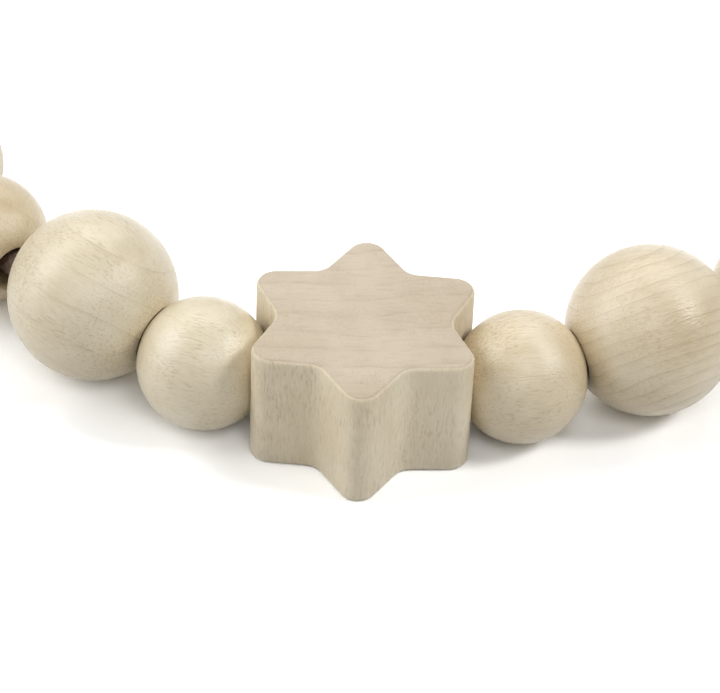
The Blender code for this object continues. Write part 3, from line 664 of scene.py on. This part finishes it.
def cord_material():
    n = Nodes("waxed_cotton")
    place = n.place()
    light, dark = linear(CORD_LIGHT), linear(CORD_DARK)
    fibre = n.noise(place, CORD_FIBRES, 3.0, 0.6)
    colour = n.mix(n.ramp(fibre, [(0.35, 0.0), (0.65, 1.0)]), dark, light)
    patch = n.ramp(n.noise(place, CORD_PATCHES), [(0.35, 0.0), (0.65, 0.35)])
    n.shade({
        "Base Color": n.mix(patch, colour, dark),
        "Roughness": 0.62,
        "Sheen Weight": 0.05,
        "Normal": n.bump(fibre, 0.5, 0.05 * MM),
    })
    return n.material


def steel_material():
    n = Nodes("plated_steel")
    streak = n.noise(n.stretch(n.place(), STEEL_STREAKS), 1.0, 3.0, 0.6)
    n.shade({
        "Base Color": n.mix(n.ramp(streak, [(0.3, 0.0), (0.7, 1.0)]), STEEL_DARK, STEEL_LIGHT),
        "Metallic": 1.0,
        "Roughness": n.ramp(streak, [(0.3, 0.28), (0.7, 0.33)]),
        "Normal": n.bump(streak, 0.05, 0.01 * MM),
    })
    return n.material


def plastic_material():
    n = Nodes("moulded_plastic")
    grit = n.noise(n.place(), PAD_GRIT)
    n.shade({
        "Base Color": linear(PAD_COLOUR),
        "Roughness": n.ramp(grit, [(0.3, 0.42), (0.7, 0.56)]),
        "Normal": n.bump(grit, 0.15, 0.03 * MM),
    })
    return n.material


# Star

def star_outline():
    sharp = []
    for step in range(2 * STAR_TIPS):
        turn = pi / 2 + pi * step / STAR_TIPS
        radius = STAR_NOTCH_RADIUS if step % 2 else STAR_TIP_RADIUS
        sharp.append((radius * cos(turn), radius * sin(turn)))
    points = []
    for step, corner in enumerate(sharp):
        after = sharp[(step + 1) % len(sharp)]
        radius = STAR_NOTCH_ROUND if step % 2 else STAR_TIP_ROUND
        count = STAR_NOTCH_POINTS if step % 2 else STAR_TIP_POINTS
        points += rounded_corner(sharp[step - 1], corner, after, radius, count)
    return points


def rod_mesh(name, radius, length, wide):
    """A rod, or a cone that is wide at its upper end, along Z."""
    shape = bmesh.new()
    bmesh.ops.create_cone(shape, cap_ends=True, segments=STAR_BORE_SEGMENTS, radius1=radius,
                          radius2=wide, depth=length)
    return bake(name, shape)


def cut(item, tools):
    for tool in tools:
        step = item.modifiers.new("cut", "BOOLEAN")
        step.operation = "DIFFERENCE"
        step.solver = "EXACT"
        step.object = tool
    mesh = evaluated_mesh(item)
    item.modifiers.clear()
    item.data = mesh
    for tool in tools:
        bpy.data.objects.remove(tool, do_unlink=True)


def star_mesh():
    """The star's rounded outline as a block with soft edges, about its centre."""
    shape = bmesh.new()
    half = STAR_THICKNESS / 2
    face = shape.faces.new([shape.verts.new((x, y, -half)) for x, y in star_outline()])
    raised = bmesh.ops.extrude_face_region(shape, geom=[face])
    top = [item for item in raised["geom"] if isinstance(item, bmesh.types.BMVert)]
    bmesh.ops.translate(shape, verts=top, vec=(0, 0, STAR_THICKNESS))
    bmesh.ops.recalc_face_normals(shape, faces=shape.faces)
    edges = [e for e in shape.edges if abs(e.verts[0].co.z - e.verts[1].co.z) < half]
    bmesh.ops.bevel(shape, geom=edges, offset=STAR_EDGE_ROUND, segments=STAR_EDGE_SEGMENTS,
                    profile=0.5, affect="EDGES", clamp_overlap=True)
    return bake("star", shape)


def star_tools():
    """Tools for the star's bore, its two mouths and the shallow seats of the small beads."""
    rod = rod_mesh("bore_tool", BORE_RADIUS, 4 * STAR_TIP_RADIUS, BORE_RADIUS)
    tools = [new_object("bore_tool", rod, Matrix.Rotation(pi / 2, 4, "Y"))]
    flare = MOUTH_RADIUS - BORE_RADIUS
    ball = arc((0, 0), SMALL_RADIUS + SEAT_GAP, pi / 2, -pi / 2, BEAD_ARC_POINTS)
    for sign in (-1, 1):
        turn = Matrix.Rotation(sign * pi / 2, 4, "Y")
        place = Matrix.Translation((sign * STAR_NOTCH_RADIUS, 0, 0)) @ turn
        mouth = rod_mesh("mouth_tool", BORE_RADIUS - flare, 4 * MOUTH_DEPTH, MOUTH_RADIUS + flare)
        tools.append(new_object("mouth_tool", mouth, place))
        seat = turned_mesh("seat_tool", ball, WOOD_SEGMENTS, False)
        tools.append(new_object("seat_tool", seat, Matrix.Translation((sign * STAR_SEAT_X, 0, 0))))
    return tools


def add_star():
    """The star, with side grain on its walls and end grain on its flat faces."""
    star = new_object("star_turned_bore", star_mesh())
    cut(star, star_tools())
    star.data.shade_smooth()
    star.data.set_sharp_from_angle(angle=STAR_SMOOTH_ANGLE)
    star.matrix_world = Matrix.Translation(JOINTS["star_spin"]["pos_m"])
    star.data.materials.clear()
    for name in ("star_sides", "star_ends"):
        star.data.materials.append(wood_material(name, **WOODS[name]))
    for face in star.data.polygons:
        face.material_index = int(abs(face.normal.z) > STAR_END_GRAIN_SHARE)
    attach(star, "star")
    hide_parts("star_bead")


# Cord

def smooth_path(points, step):
    """A Catmull-Rom curve through the points, with places about a step apart."""
    points = [Vector(point) for point in points]
    ends = [2 * points[0] - points[1]] + points + [2 * points[-1] - points[-2]]
    path = []
    for a, b, c, d in zip(ends, ends[1:], ends[2:], ends[3:]):
        count = max(2, round((c - b).length / step))
        for index in range(count):
            t = index / count
            path.append(0.5 * (2 * b + (c - a) * t + (2 * a - 5 * b + 4 * c - d) * t ** 2
                               + (3 * b - a - 3 * c + d) * t ** 3))
    path.append(points[-1])
    return path


def braid_relief(share, distance):
    """How high the braid stands, from 0 to 1, at a share of the turn and a distance along it."""
    first = BRAID_STRANDS * share + distance / BRAID_STEP
    second = BRAID_STRANDS * share - distance / BRAID_STEP
    over, under = first - floor(first), second - floor(second)
    if (floor(first) + floor(second)) % 2:
        over, under = under, over
    return sqrt(sin(pi * over)) * (1 - BRAID_CROSS_SHARE + BRAID_CROSS_SHARE * sin(pi * under))


def sweep(shape, path, ups, half_side, half_up, braided):
    """Add to a bmesh a closed tube along a path. ups holds its upward direction at each place."""
    rings = []
    distance = 0
    last = len(path) - 1
    for index, point in enumerate(path):
        before, after = path[max(index - 1, 0)], path[min(index + 1, last)]
        tangent = (after - before).normalized()
        side = tangent.cross(ups[index]).normalized()
        up = side.cross(tangent)
        if index:
            distance += (point - before).length
        close = CORD_END_SHARE if braided and index in (0, last) else 1
        sides = CORD_SIDES if braided else SPRING_SIDES
        ring = []
        for step in range(sides):
            share = step / sides
            size = close
            if braided:
                size *= 1 - BRAID_DEPTH_SHARE * (1 - braid_relief(share, distance))
            reach = side * cos(2 * pi * share) * half_side + up * sin(2 * pi * share) * half_up
            ring.append(shape.verts.new(point + reach * size))
        rings.append(ring)
    join_rings(shape, rings)


def add_cord(name, points, material, up=UP):
    path = smooth_path(points, CORD_RING_STEP)
    shape = bmesh.new()
    sweep(shape, path, [up] * len(path), CORD_RADIUS, CORD_RADIUS, True)
    cord = new_object(name, mesh_of(name, shape))
    cord.data.materials.append(material)
    return cord


def bead_spots(joint_name, spots):
    """Places in a bead's bore from (distance along it, rise across it) pairs in mm."""
    return [bead_frame(joint_name) @ Vector((0, rise * MM, along * MM)) for along, rise in spots]


def add_crossing_cord(name, node, inner, outer, inner_spots, outer_spots, stretch, material):
    """A cord that crosses from one bead to the next and bends there."""
    start, end = stretch
    inner, outer = f"{inner}_spin", f"{outer}_spin"
    cord = add_cord(name, bead_spots(inner, inner_spots) + bead_spots(outer, outer_spots), material)
    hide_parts(node)
    first = Vector(JOINTS[inner]["pos_m"])
    out = (Vector(JOINTS[outer]["pos_m"]) - first).normalized()
    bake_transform(cord)


def knot_place(joint_name, heading):
    """A frame at the outer mouth of an end bead, with Z out along a heading."""
    joint = JOINTS[joint_name]
    out = Vector(joint["axis"]).normalized()
    return along_axis(Vector(joint["pos_m"]) + out * (SMALL_RADIUS + KNOT_GAP), heading)


def add_knot(name, node, place, tail, body, material):
    """A tightened barrel knot: a core, and a flattened strand wound round it."""
    wrap = KNOT_LENGTH / KNOT_TURNS
    half_up = (KNOT_RADIUS - CORD_RADIUS) / 2
    turns = KNOT_TURNS - 1
    path, ups = [], []
    for step in range(KNOT_RING_STEPS + 1):
        turn = -KNOT_LEAD + (turns + 2 * KNOT_LEAD) * step / KNOT_RING_STEPS
        inside = min(max(-turn, turn - turns, 0) / KNOT_LEAD, 1)
        radius = (KNOT_RADIUS - half_up) * (1 - KNOT_LEAD_DROP * inside * inside)
        height = wrap / 2 + wrap * min(max(turn, 0), turns)
        up = Vector((cos(2 * pi * turn), sin(2 * pi * turn), 0))
        path.append(up * radius + Vector((0, 0, height)))
        ups.append(up)
    shape = bmesh.new()
    sweep(shape, path, ups, wrap / 2, half_up, True)
    core_end = KNOT_LENGTH + (KNOT_TAIL if tail else 0)
    core = smooth_path([(0, 0, 0), (0, 0, core_end / 2), (0, 0, core_end)], CORD_RING_STEP)
    sweep(shape, core, [Vector((1, 0, 0))] * len(core), CORD_RADIUS, CORD_RADIUS, True)
    knot = new_object(name, mesh_of(name, shape), place)
    knot.data.materials.append(material)
    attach(knot, body)
    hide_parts(node)


def add_clip_loop(material):
    """The cord's loop, out of the knot, round the eye's bar and back."""
    bar = Vector(JOINTS["clip_swing"]["pos_m"])
    start = bar - CLIP_WAY * (LOOP_REACH + LOOP_SPREAD)
    start.z = SMALL_RADIUS
    turn_centre = bar + CLIP_WAY * LOOP_PAST_BAR
    near = turn_centre - CLIP_WAY * LOOP_REACH / 3
    behind = start - CLIP_WAY * LOOP_START_BACK
    upper = [behind + UP * LOOP_START_SPREAD, start + UP * LOOP_PINCH, near + UP * LOOP_SPREAD]
    lower = [near - UP * LOOP_SPREAD, start - UP * LOOP_PINCH, behind - UP * LOOP_START_SPREAD]
    bend = [turn_centre + CLIP_WAY * x + UP * z
            for x, z in arc((0, 0), LOOP_SPREAD, pi / 2, -pi / 2, LOOP_BEND_POINTS)]
    loop = add_cord("braided_clip_loop", upper + bend + lower, material, CLIP_WAY.cross(UP))
    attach(loop, "left_end_cord")
    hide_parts("cord_clip_loop")


def add_inner_cord(node, body, ends, material):
    """A straight cord inside one bead."""
    middle = (ends[0] + ends[1]) / 2
    cord = add_cord(f"braided_{node}", [ends[0], middle, ends[1]], material)
    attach(cord, body)
    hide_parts(node)


def add_cords(material):
    star = Vector(JOINTS["star_spin"]["pos_m"])
    reach = Vector((STAR_NOTCH_RADIUS, 0, 0))
    add_inner_cord("cord_star", "middle_cord", (star - reach, star + reach), material)
    for side in ("left", "right"):
        for size, body, spots in INNER_CORDS:
            ends = bead_spots(f"{side}_{body}_spin", spots)
            add_inner_cord(f"{size}_cord_{side}", f"{side}_{body}_cord", ends, material)
    for crossing in CROSSINGS:
        add_crossing_cord(*crossing, material)
    add_knot("barrel_knot_left", "cord_knot_left", knot_place("left_end_spin", CLIP_WAY), False,
             "left_end_cord", material)
    right_way = JOINTS["right_end_spin"]["axis"]
    add_knot("barrel_knot_right", "cord_knot_right", knot_place("right_end_spin", right_way), True,
             "right_end_cord", material)
    add_clip_loop(material)


# Clip

def clip_frame():
    centre = Vector(JOINTS["clip_swing"]["pos_m"]) - CLIP_WAY * CLIP_BAR_X
    centre.z = 0
    return Matrix.Translation(centre) @ Matrix.Rotation(CLIP_HEADING, 4, "Z")


def across_clip(x, y, z):
    """A place in the clip with local Z turned across it, along the clip's Y."""
    return Matrix.Translation((x, y, z)) @ Matrix.Rotation(-pi / 2, 4, "X")


def finish_piece(name, node, mesh, body, material):
    mesh.materials.clear()
    mesh.materials.append(material)
    piece = new_object(name, mesh, clip_frame())
    if body:
        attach(piece, body)
    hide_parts(node)
    return piece


def rounded_outline(points, radii, count=SHEET_CORNER_POINTS):
    """A closed outline with each corner rounded by its own radius."""
    outline = []
    for index, (corner, radius) in enumerate(zip(points, radii)):
        if radius:
            outline += rounded_corner(points[index - 1], corner, points[(index + 1) % len(points)],
                                      radius, count)
        else:
            outline.append(corner)
    return outline


def box_outline(low_x, high_x, half_width, corner):
    points = [(high_x, half_width), (low_x, half_width), (low_x, -half_width), (high_x, -half_width)]
    return rounded_outline(points, [corner] * 4)


def circle_outline(radius):
    return arc((0, 0), radius, 0, 2 * pi * (HOLE_POINTS - 1) / HOLE_POINTS, HOLE_POINTS)


def plate_mesh(name, outlines, thickness, soft):
    """A plate with softened edges, centred on z = 0. Outlines after the first are holes."""
    curve = bpy.data.curves.new(name, "CURVE")
    curve.dimensions = "2D"
    curve.fill_mode = "BOTH"
    curve.extrude = thickness / 2 - soft
    curve.bevel_depth = soft
    curve.bevel_resolution = SHEET_SOFT_STEPS
    curve.offset = -soft
    for points in outlines:
        spline = curve.splines.new("POLY")
        spline.points.add(len(points) - 1)
        for slot, (x, y) in zip(spline.points, points):
            slot.co = (x, y, 0, 1)
        spline.use_cyclic_u = True
    item = new_object(name, curve)
    mesh = evaluated_mesh(item)
    bpy.data.objects.remove(item, do_unlink=True)
    return mesh


def joined_mesh(name, parts):
    """One mesh from (mesh, place) pairs."""
    shape = bmesh.new()
    for mesh, place in parts:
        known = len(shape.verts)
        shape.from_mesh(mesh)
        shape.verts.ensure_lookup_table()
        bmesh.ops.transform(shape, matrix=place, verts=shape.verts[known:])
    bmesh.ops.remove_doubles(shape, verts=shape.verts, dist=SAME_PLACE)
    return mesh_of(name, shape, CLIP_SMOOTH_ANGLE)


def on_both_sides(mesh, width, thickness):
    """A flat piece at each side of the hinge, just inside a width."""
    reach = (width - thickness) / 2 - EAR_INSET
    return [(mesh, across_clip(HINGE_X, y, HINGE_Z)) for y in (-reach, reach)]


def add_base_plate(steel):
    outlines = [box_outline(PLATE_REAR_X, PLATE_FRONT_X, PLATE_WIDTH / 2, PLATE_CORNER),
                box_outline(EYE_REAR_X, EYE_FRONT_X, EYE_WIDTH / 2, EYE_CORNER)]
    plate = plate_mesh("plate", outlines, PLATE_THICKNESS, SHEET_SOFT)
    foot = HINGE_Z - PLATE_MIDDLE - SHEET_SOFT
    sides = [(-EAR_LENGTH / 2, foot), (EAR_LENGTH / 2, foot)]
    outline = sides + arc((0, 0), EAR_RADIUS, 0, -pi, SHEET_ARC_POINTS)
    ear = plate_mesh("ear", [outline, circle_outline(PIN_HOLE_RADIUS)], EAR_THICKNESS, SHEET_SOFT)
    parts = [(plate, Matrix.Translation((0, 0, PLATE_MIDDLE)))]
    parts += on_both_sides(ear, PLATE_WIDTH, EAR_THICKNESS)
    mesh = joined_mesh("plate_with_ears", parts)
    finish_piece("clip_plate_with_ears", "clip_base_plate", mesh, "clip", steel)


def lever_line():
    """The lever's middle line with its bends rounded, as places in the clip's XZ plane."""
    points = [Vector((x * MM, z * MM)) for x, z in LEVER_LINE]
    line = [points[0]]
    for before, corner, after, radius in zip(points, points[1:], points[2:], LEVER_BENDS[1:]):
        bend = rounded_corner(before, corner, after, radius * MM, LEVER_BEND_POINTS)
        line += [Vector(place) for place in bend]
    line.append(points[-1])
    return line


def spaced_along(line, distances):
    """Places and directions at distances along a line."""
    found = []
    for distance in distances:
        left = distance
        for a, b in zip(line, line[1:]):
            length = (b - a).length
            if left <= length or b is line[-1]:
                found.append((a + (b - a) * min(left / length, 1), (b - a).normalized()))
                break
            left -= length
    return found


def strip_mesh():
    """The lever's bent strip of sheet, with rounded edges and rounded corners at both ends."""
    line = lever_line()
    total = sum((b - a).length for a, b in zip(line, line[1:]))
    thumb, tip = LEVER_THUMB_CORNER, LEVER_TIP_CORNER
    start = [thumb * (1 - cos(turn)) for turn in spread(0, pi / 2, LEVER_THUMB_POINTS)]
    middle = spread(thumb, total - tip, LEVER_MIDDLE_POINTS)[1:-1]
    end = [total - tip * (1 - cos(turn)) for turn in spread(pi / 2, 0, LEVER_TIP_POINTS)]
    distances = start + middle + end
    shape = bmesh.new()
    rings = []
    for distance, (place, way) in zip(distances, spaced_along(line, distances)):
        half = LEVER_WIDTH / 2
        for corner, reach in ((thumb, distance), (tip, total - distance)):
            if reach < corner:
                inset = sqrt(max(corner ** 2 - (corner - reach) ** 2, 0))
                half = min(half, LEVER_WIDTH / 2 - corner + inset)
        edge = min(distance, total - distance, SHEET_SOFT)
        thin = LEVER_SHEET / 2 - SHEET_SOFT + sqrt(SHEET_SOFT ** 2 - (SHEET_SOFT - edge) ** 2)
        soft = min(SHEET_SOFT, thin) * LEVER_SOFT_SHARE
        normal = Vector((-way.y, way.x))
        ring = []
        for side, rise, turn in ((1, 1, 0), (-1, 1, pi / 2), (-1, -1, pi), (1, -1, 3 * pi / 2)):
            centre = (side * (half - soft), rise * (thin - soft))
            for y, up in arc(centre, soft, turn, turn + pi / 2, LEVER_SOFT_POINTS):
                spot = place + normal * up
                ring.append(shape.verts.new((spot.x, y, spot.y)))
        rings.append(ring)
    join_rings(shape, rings)
    return mesh_of("strip", shape)


def add_lever(steel):
    top = LEVER_TOP_Z - HINGE_Z
    outline = [(LEVER_SHOULDER_X - HINGE_X - SHEET_SOFT, -top),
               (LEVER_BACK_X - HINGE_X + SHEET_SOFT, -top)]
    outline += arc((0, 0), CHEEK_RADIUS, pi, 0, SHEET_ARC_POINTS)
    hole = circle_outline(PIN_HOLE_RADIUS)
    strip = strip_mesh()
    cheek = plate_mesh("cheek", [outline, hole], CHEEK_THICKNESS, SHEET_SOFT)
    parts = [(strip, Matrix())] + on_both_sides(cheek, LEVER_WIDTH, CHEEK_THICKNESS)
    mesh = joined_mesh("lever_with_cheeks", parts)
    finish_piece("clip_lever_with_cheeks", "clip_lever", mesh, "lever", steel)


def add_jaw_pad(plastic):
    tooth = PAD_LENGTH / PAD_TEETH
    top = -(PAD_BASE + PAD_THICKNESS)
    points = [(PAD_REAR_X, top), (PAD_REAR_X + PAD_LENGTH, top)]
    radii = [PAD_CORNER, PAD_CORNER]
    for step in range(PAD_TEETH, 0, -1):
        points.append((PAD_REAR_X + step * tooth, -PAD_BASE - PAD_TOOTH_DEPTH))
        points.append((PAD_REAR_X + (step - 1 / 2) * tooth, -PAD_BASE))
        radii += [PAD_ROOT_ROUND, PAD_TIP_ROUND]
    points.append((PAD_REAR_X, -PAD_BASE - PAD_TOOTH_DEPTH))
    radii.append(PAD_ROOT_ROUND)
    outline = rounded_outline(points, radii, PAD_CORNER_POINTS)
    pad = plate_mesh("pad", [outline], LEVER_WIDTH, PAD_SOFT)
    mesh = joined_mesh("toothed_pad", [(pad, across_clip(0, 0, 0))])
    finish_piece("clip_toothed_pad", "clip_jaw_pad", mesh, "lever", plastic)


def dome(radius, rim, top, count):
    """Points down a domed head, from its top to its rim."""
    return [(radius * sin(turn), rim + (top - rim) * cos(turn)) for turn in spread(0, pi / 2, count)]


def add_hinge_pin(steel):
    rim = PIN_HALF + PIN_HEAD_LENGTH * PIN_RIM_SHARE
    half = dome(PIN_HEAD_RADIUS, rim, PIN_HALF + PIN_HEAD_LENGTH, PIN_DOME_POINTS)
    half += [(PIN_HEAD_RADIUS, PIN_HALF + PIN_EDGE), (PIN_HEAD_RADIUS - PIN_EDGE, PIN_HALF),
             (PIN_RADIUS, PIN_HALF)]
    profile = half + [(radius, -height) for radius, height in reversed(half)]
    pin = turned_mesh("pin", profile, HEAD_SEGMENTS, False)
    mesh = joined_mesh("domed_pin", [(pin, across_clip(HINGE_X, 0, HINGE_Z))])
    finish_piece("clip_domed_pin", "clip_hinge_pin", mesh, "clip", steel)


def add_spring(steel):
    half = SPRING_TURNS * SPRING_PITCH / 2
    low_end, high_end = -pi / 2, pi / 2 + 2 * pi * SPRING_TURNS
    count = round(SPRING_TURN_STEPS * (SPRING_TURNS + 1 / 2)) + 1
    coil = []
    for turn, y in zip(spread(low_end, high_end, count), spread(-half, half, count)):
        coil.append(Vector((HINGE_X + SPRING_MEAN_RADIUS * cos(turn), y,
                            HINGE_Z + SPRING_MEAN_RADIUS * sin(turn))))
    low_leg = coil[0] - Vector((SPRING_LEG, 0, 0))
    low_leg.z = PLATE_TOP + SPRING_LEG_GAP + SPRING_WIRE_RADIUS
    high_leg = coil[-1] - Vector((SPRING_LEG, 0, 0))
    steps = SPRING_LEG_STEPS
    path = [low_leg.lerp(coil[0], step / steps) for step in range(steps)] + coil
    path += [coil[-1].lerp(high_leg, step / steps) for step in range(1, steps + 1)]
    shape = bmesh.new()
    sweep(shape, path, [Vector((0, 1, 0))] * len(path), SPRING_WIRE_RADIUS, SPRING_WIRE_RADIUS, False)
    mesh = mesh_of("coil", shape, SPRING_SMOOTH_ANGLE)
    spring = finish_piece("clip_coil_spring", "clip_spring", mesh, None, steel)
    hinge = Vector((HINGE_X, 0, HINGE_Z))
    ends = [clip_frame() @ (hinge + Vector((0, reach, 0))) for reach in (-half, half)]
    tuple(ends[0])
    tuple(ends[1])
    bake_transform(spring)


def add_screws(steel):
    top = SCREW_GAP + SCREW_HEAD_HEIGHT
    end = SCREW_GAP - SCREW_LENGTH
    profile = dome(SCREW_HEAD_RADIUS, SCREW_GAP + SCREW_HEAD_HEIGHT / 3, top, SCREW_DOME_POINTS)
    profile += [(SCREW_HEAD_RADIUS, SCREW_GAP + SCREW_EDGE),
                (SCREW_HEAD_RADIUS - SCREW_EDGE, SCREW_GAP), (SCREW_SHANK_RADIUS, SCREW_GAP),
                (SCREW_SHANK_RADIUS, end + SCREW_SHANK_RADIUS), (0, end)]
    slot_size = (3 * SCREW_HEAD_RADIUS, SCREW_SLOT_WIDTH, 2 * SCREW_SLOT_DEPTH)
    for node, x in SCREW_PLACES.items():
        head = new_object("head", turned_mesh("head", profile, HEAD_SEGMENTS, False))
        slot_box = bmesh.new()
        bmesh.ops.create_cube(slot_box, size=1)
        bmesh.ops.scale(slot_box, vec=slot_size, verts=slot_box.verts)
        tool = new_object("slot_tool", mesh_of("slot_tool", slot_box), Matrix.Translation((0, 0, top)))
        cut(head, [tool])
        mesh = joined_mesh(node, [(head.data, Matrix.Translation((x, 0, PLATE_TOP)))])
        bpy.data.objects.remove(head, do_unlink=True)
        finish_piece(f"{node}_domed", node, mesh, "clip", steel)


def add_disc():
    """The clip's turned wooden disc. Its grain lies level, along the clip."""
    inner = DISC_RADIUS - DISC_EDGE_ROUND
    top = DISC_THICKNESS - DISC_EDGE_ROUND
    profile = [(0, DISC_THICKNESS)]
    profile += arc((inner, top), DISC_EDGE_ROUND, pi / 2, 0, DISC_EDGE_POINTS)
    profile += arc((inner, DISC_EDGE_ROUND), DISC_EDGE_ROUND, 0, -pi / 2, DISC_EDGE_POINTS)
    profile += [(0, 0)]
    mesh = turned_mesh("disc", profile, WOOD_SEGMENTS, False)
    level = clip_frame() @ Matrix.Rotation(pi / 2, 4, "Y")
    wood = wood_material("disc", axes=level, **WOODS["disc"])
    finish_piece("clip_turned_disc", "clip_wooden_disc", mesh, "clip", wood)


# Studio

def add_camera():
    back = Vector((0, -cos(CAMERA_ELEVATION), sin(CAMERA_ELEVATION)))
    across = Vector((1, 0, 0))
    up = back.cross(across)
    right = cos(CAMERA_ROLL) * across + sin(CAMERA_ROLL) * up
    above = cos(CAMERA_ROLL) * up - sin(CAMERA_ROLL) * across
    data = bpy.data.cameras.new("camera")
    data.sensor_fit = "HORIZONTAL"
    data.sensor_width = CAMERA_SENSOR
    data.lens = CAMERA_FOCAL_PIXELS * CAMERA_SENSOR / IMAGE_WIDTH
    data.clip_start = CAMERA_NEAR
    data.clip_end = CAMERA_FAR
    camera = new_object("camera", data)
    turn = Matrix((right, above, back)).transposed().to_4x4()
    camera.matrix_world = Matrix.Translation(CAMERA_FOCUS + back * CAMERA_DISTANCE) @ turn
    bpy.context.scene.camera = camera


def add_softbox(name, place, width, depth, power):
    data = bpy.data.lights.new(name, "AREA")
    data.shape = "RECTANGLE"
    data.size = width
    data.size_y = depth
    data.energy = power
    lamp = new_object(name, data)
    aim = (-Vector(place)).to_track_quat("-Z", "Y").to_matrix().to_4x4()
    lamp.matrix_world = Matrix.Translation(place) @ aim


def show_to_camera(tree, lit, shown, surface):
    """Use one shader for what the camera and reflections see, and another for the light given off."""
    ray = tree.nodes.new("ShaderNodeLightPath")
    seen = tree.nodes.new("ShaderNodeMath")
    seen.operation = "MAXIMUM"
    tree.links.new(ray.outputs["Is Camera Ray"], seen.inputs[0])
    tree.links.new(ray.outputs["Is Glossy Ray"], seen.inputs[1])
    choice = tree.nodes.new("ShaderNodeMixShader")
    for source, socket in zip((seen, lit, shown), choice.inputs):
        tree.links.new(source.outputs[0], socket)
    tree.links.new(choice.outputs[0], surface)


def add_floor():
    n = Nodes("paper_floor")
    lit = n.add("ShaderNodeBsdfDiffuse", {"Color": FLOOR_LIT})
    shown = n.add("ShaderNodeBsdfDiffuse", {"Color": FLOOR_SHOWN})
    lift = n.add("ShaderNodeBsdfDiffuse", {"Color": FLOOR_LIFT})
    both = n.add("ShaderNodeAddShader", {0: shown.outputs[0], 1: lift.outputs[0]})
    n.tree.nodes.remove(n.shader)
    show_to_camera(n.tree, lit, both, n.tree.nodes["Material Output"].inputs["Surface"])
    shape = bmesh.new()
    bmesh.ops.create_grid(shape, x_segments=2, y_segments=2, size=FLOOR_SIZE)
    mesh = bake("floor", shape)
    mesh.materials.append(n.material)
    floor = new_object("floor", mesh)


def add_world():
    world = bpy.data.worlds.new("studio")
    bpy.context.scene.world = world
    world.use_nodes = True
    tree = world.node_tree
    ambient = tree.nodes["Background"]
    white = tree.nodes.new("ShaderNodeBackground")
    for light, strength in ((ambient, AMBIENT_STRENGTH), (white, WHITE_STRENGTH)):
        light.inputs["Color"].default_value = (1, 1, 1, 1)
        light.inputs["Strength"].default_value = strength
    show_to_camera(tree, ambient, white, tree.nodes["World Output"].inputs["Surface"])


add_camera()
add_floor()
add_world()
for lamp in LAMPS:
    add_softbox(*lamp)
bpy.context.scene.view_settings.view_transform = "Standard"
for node, joint_name in BEAD_JOINTS.items():
    add_bead(node, joint_name)
add_star()
cotton = cord_material()
steel = steel_material()
plastic = plastic_material()
add_cords(cotton)
add_base_plate(steel)
add_lever(steel)
add_jaw_pad(plastic)
add_hinge_pin(steel)
add_spring(steel)
add_screws(steel)
add_disc()
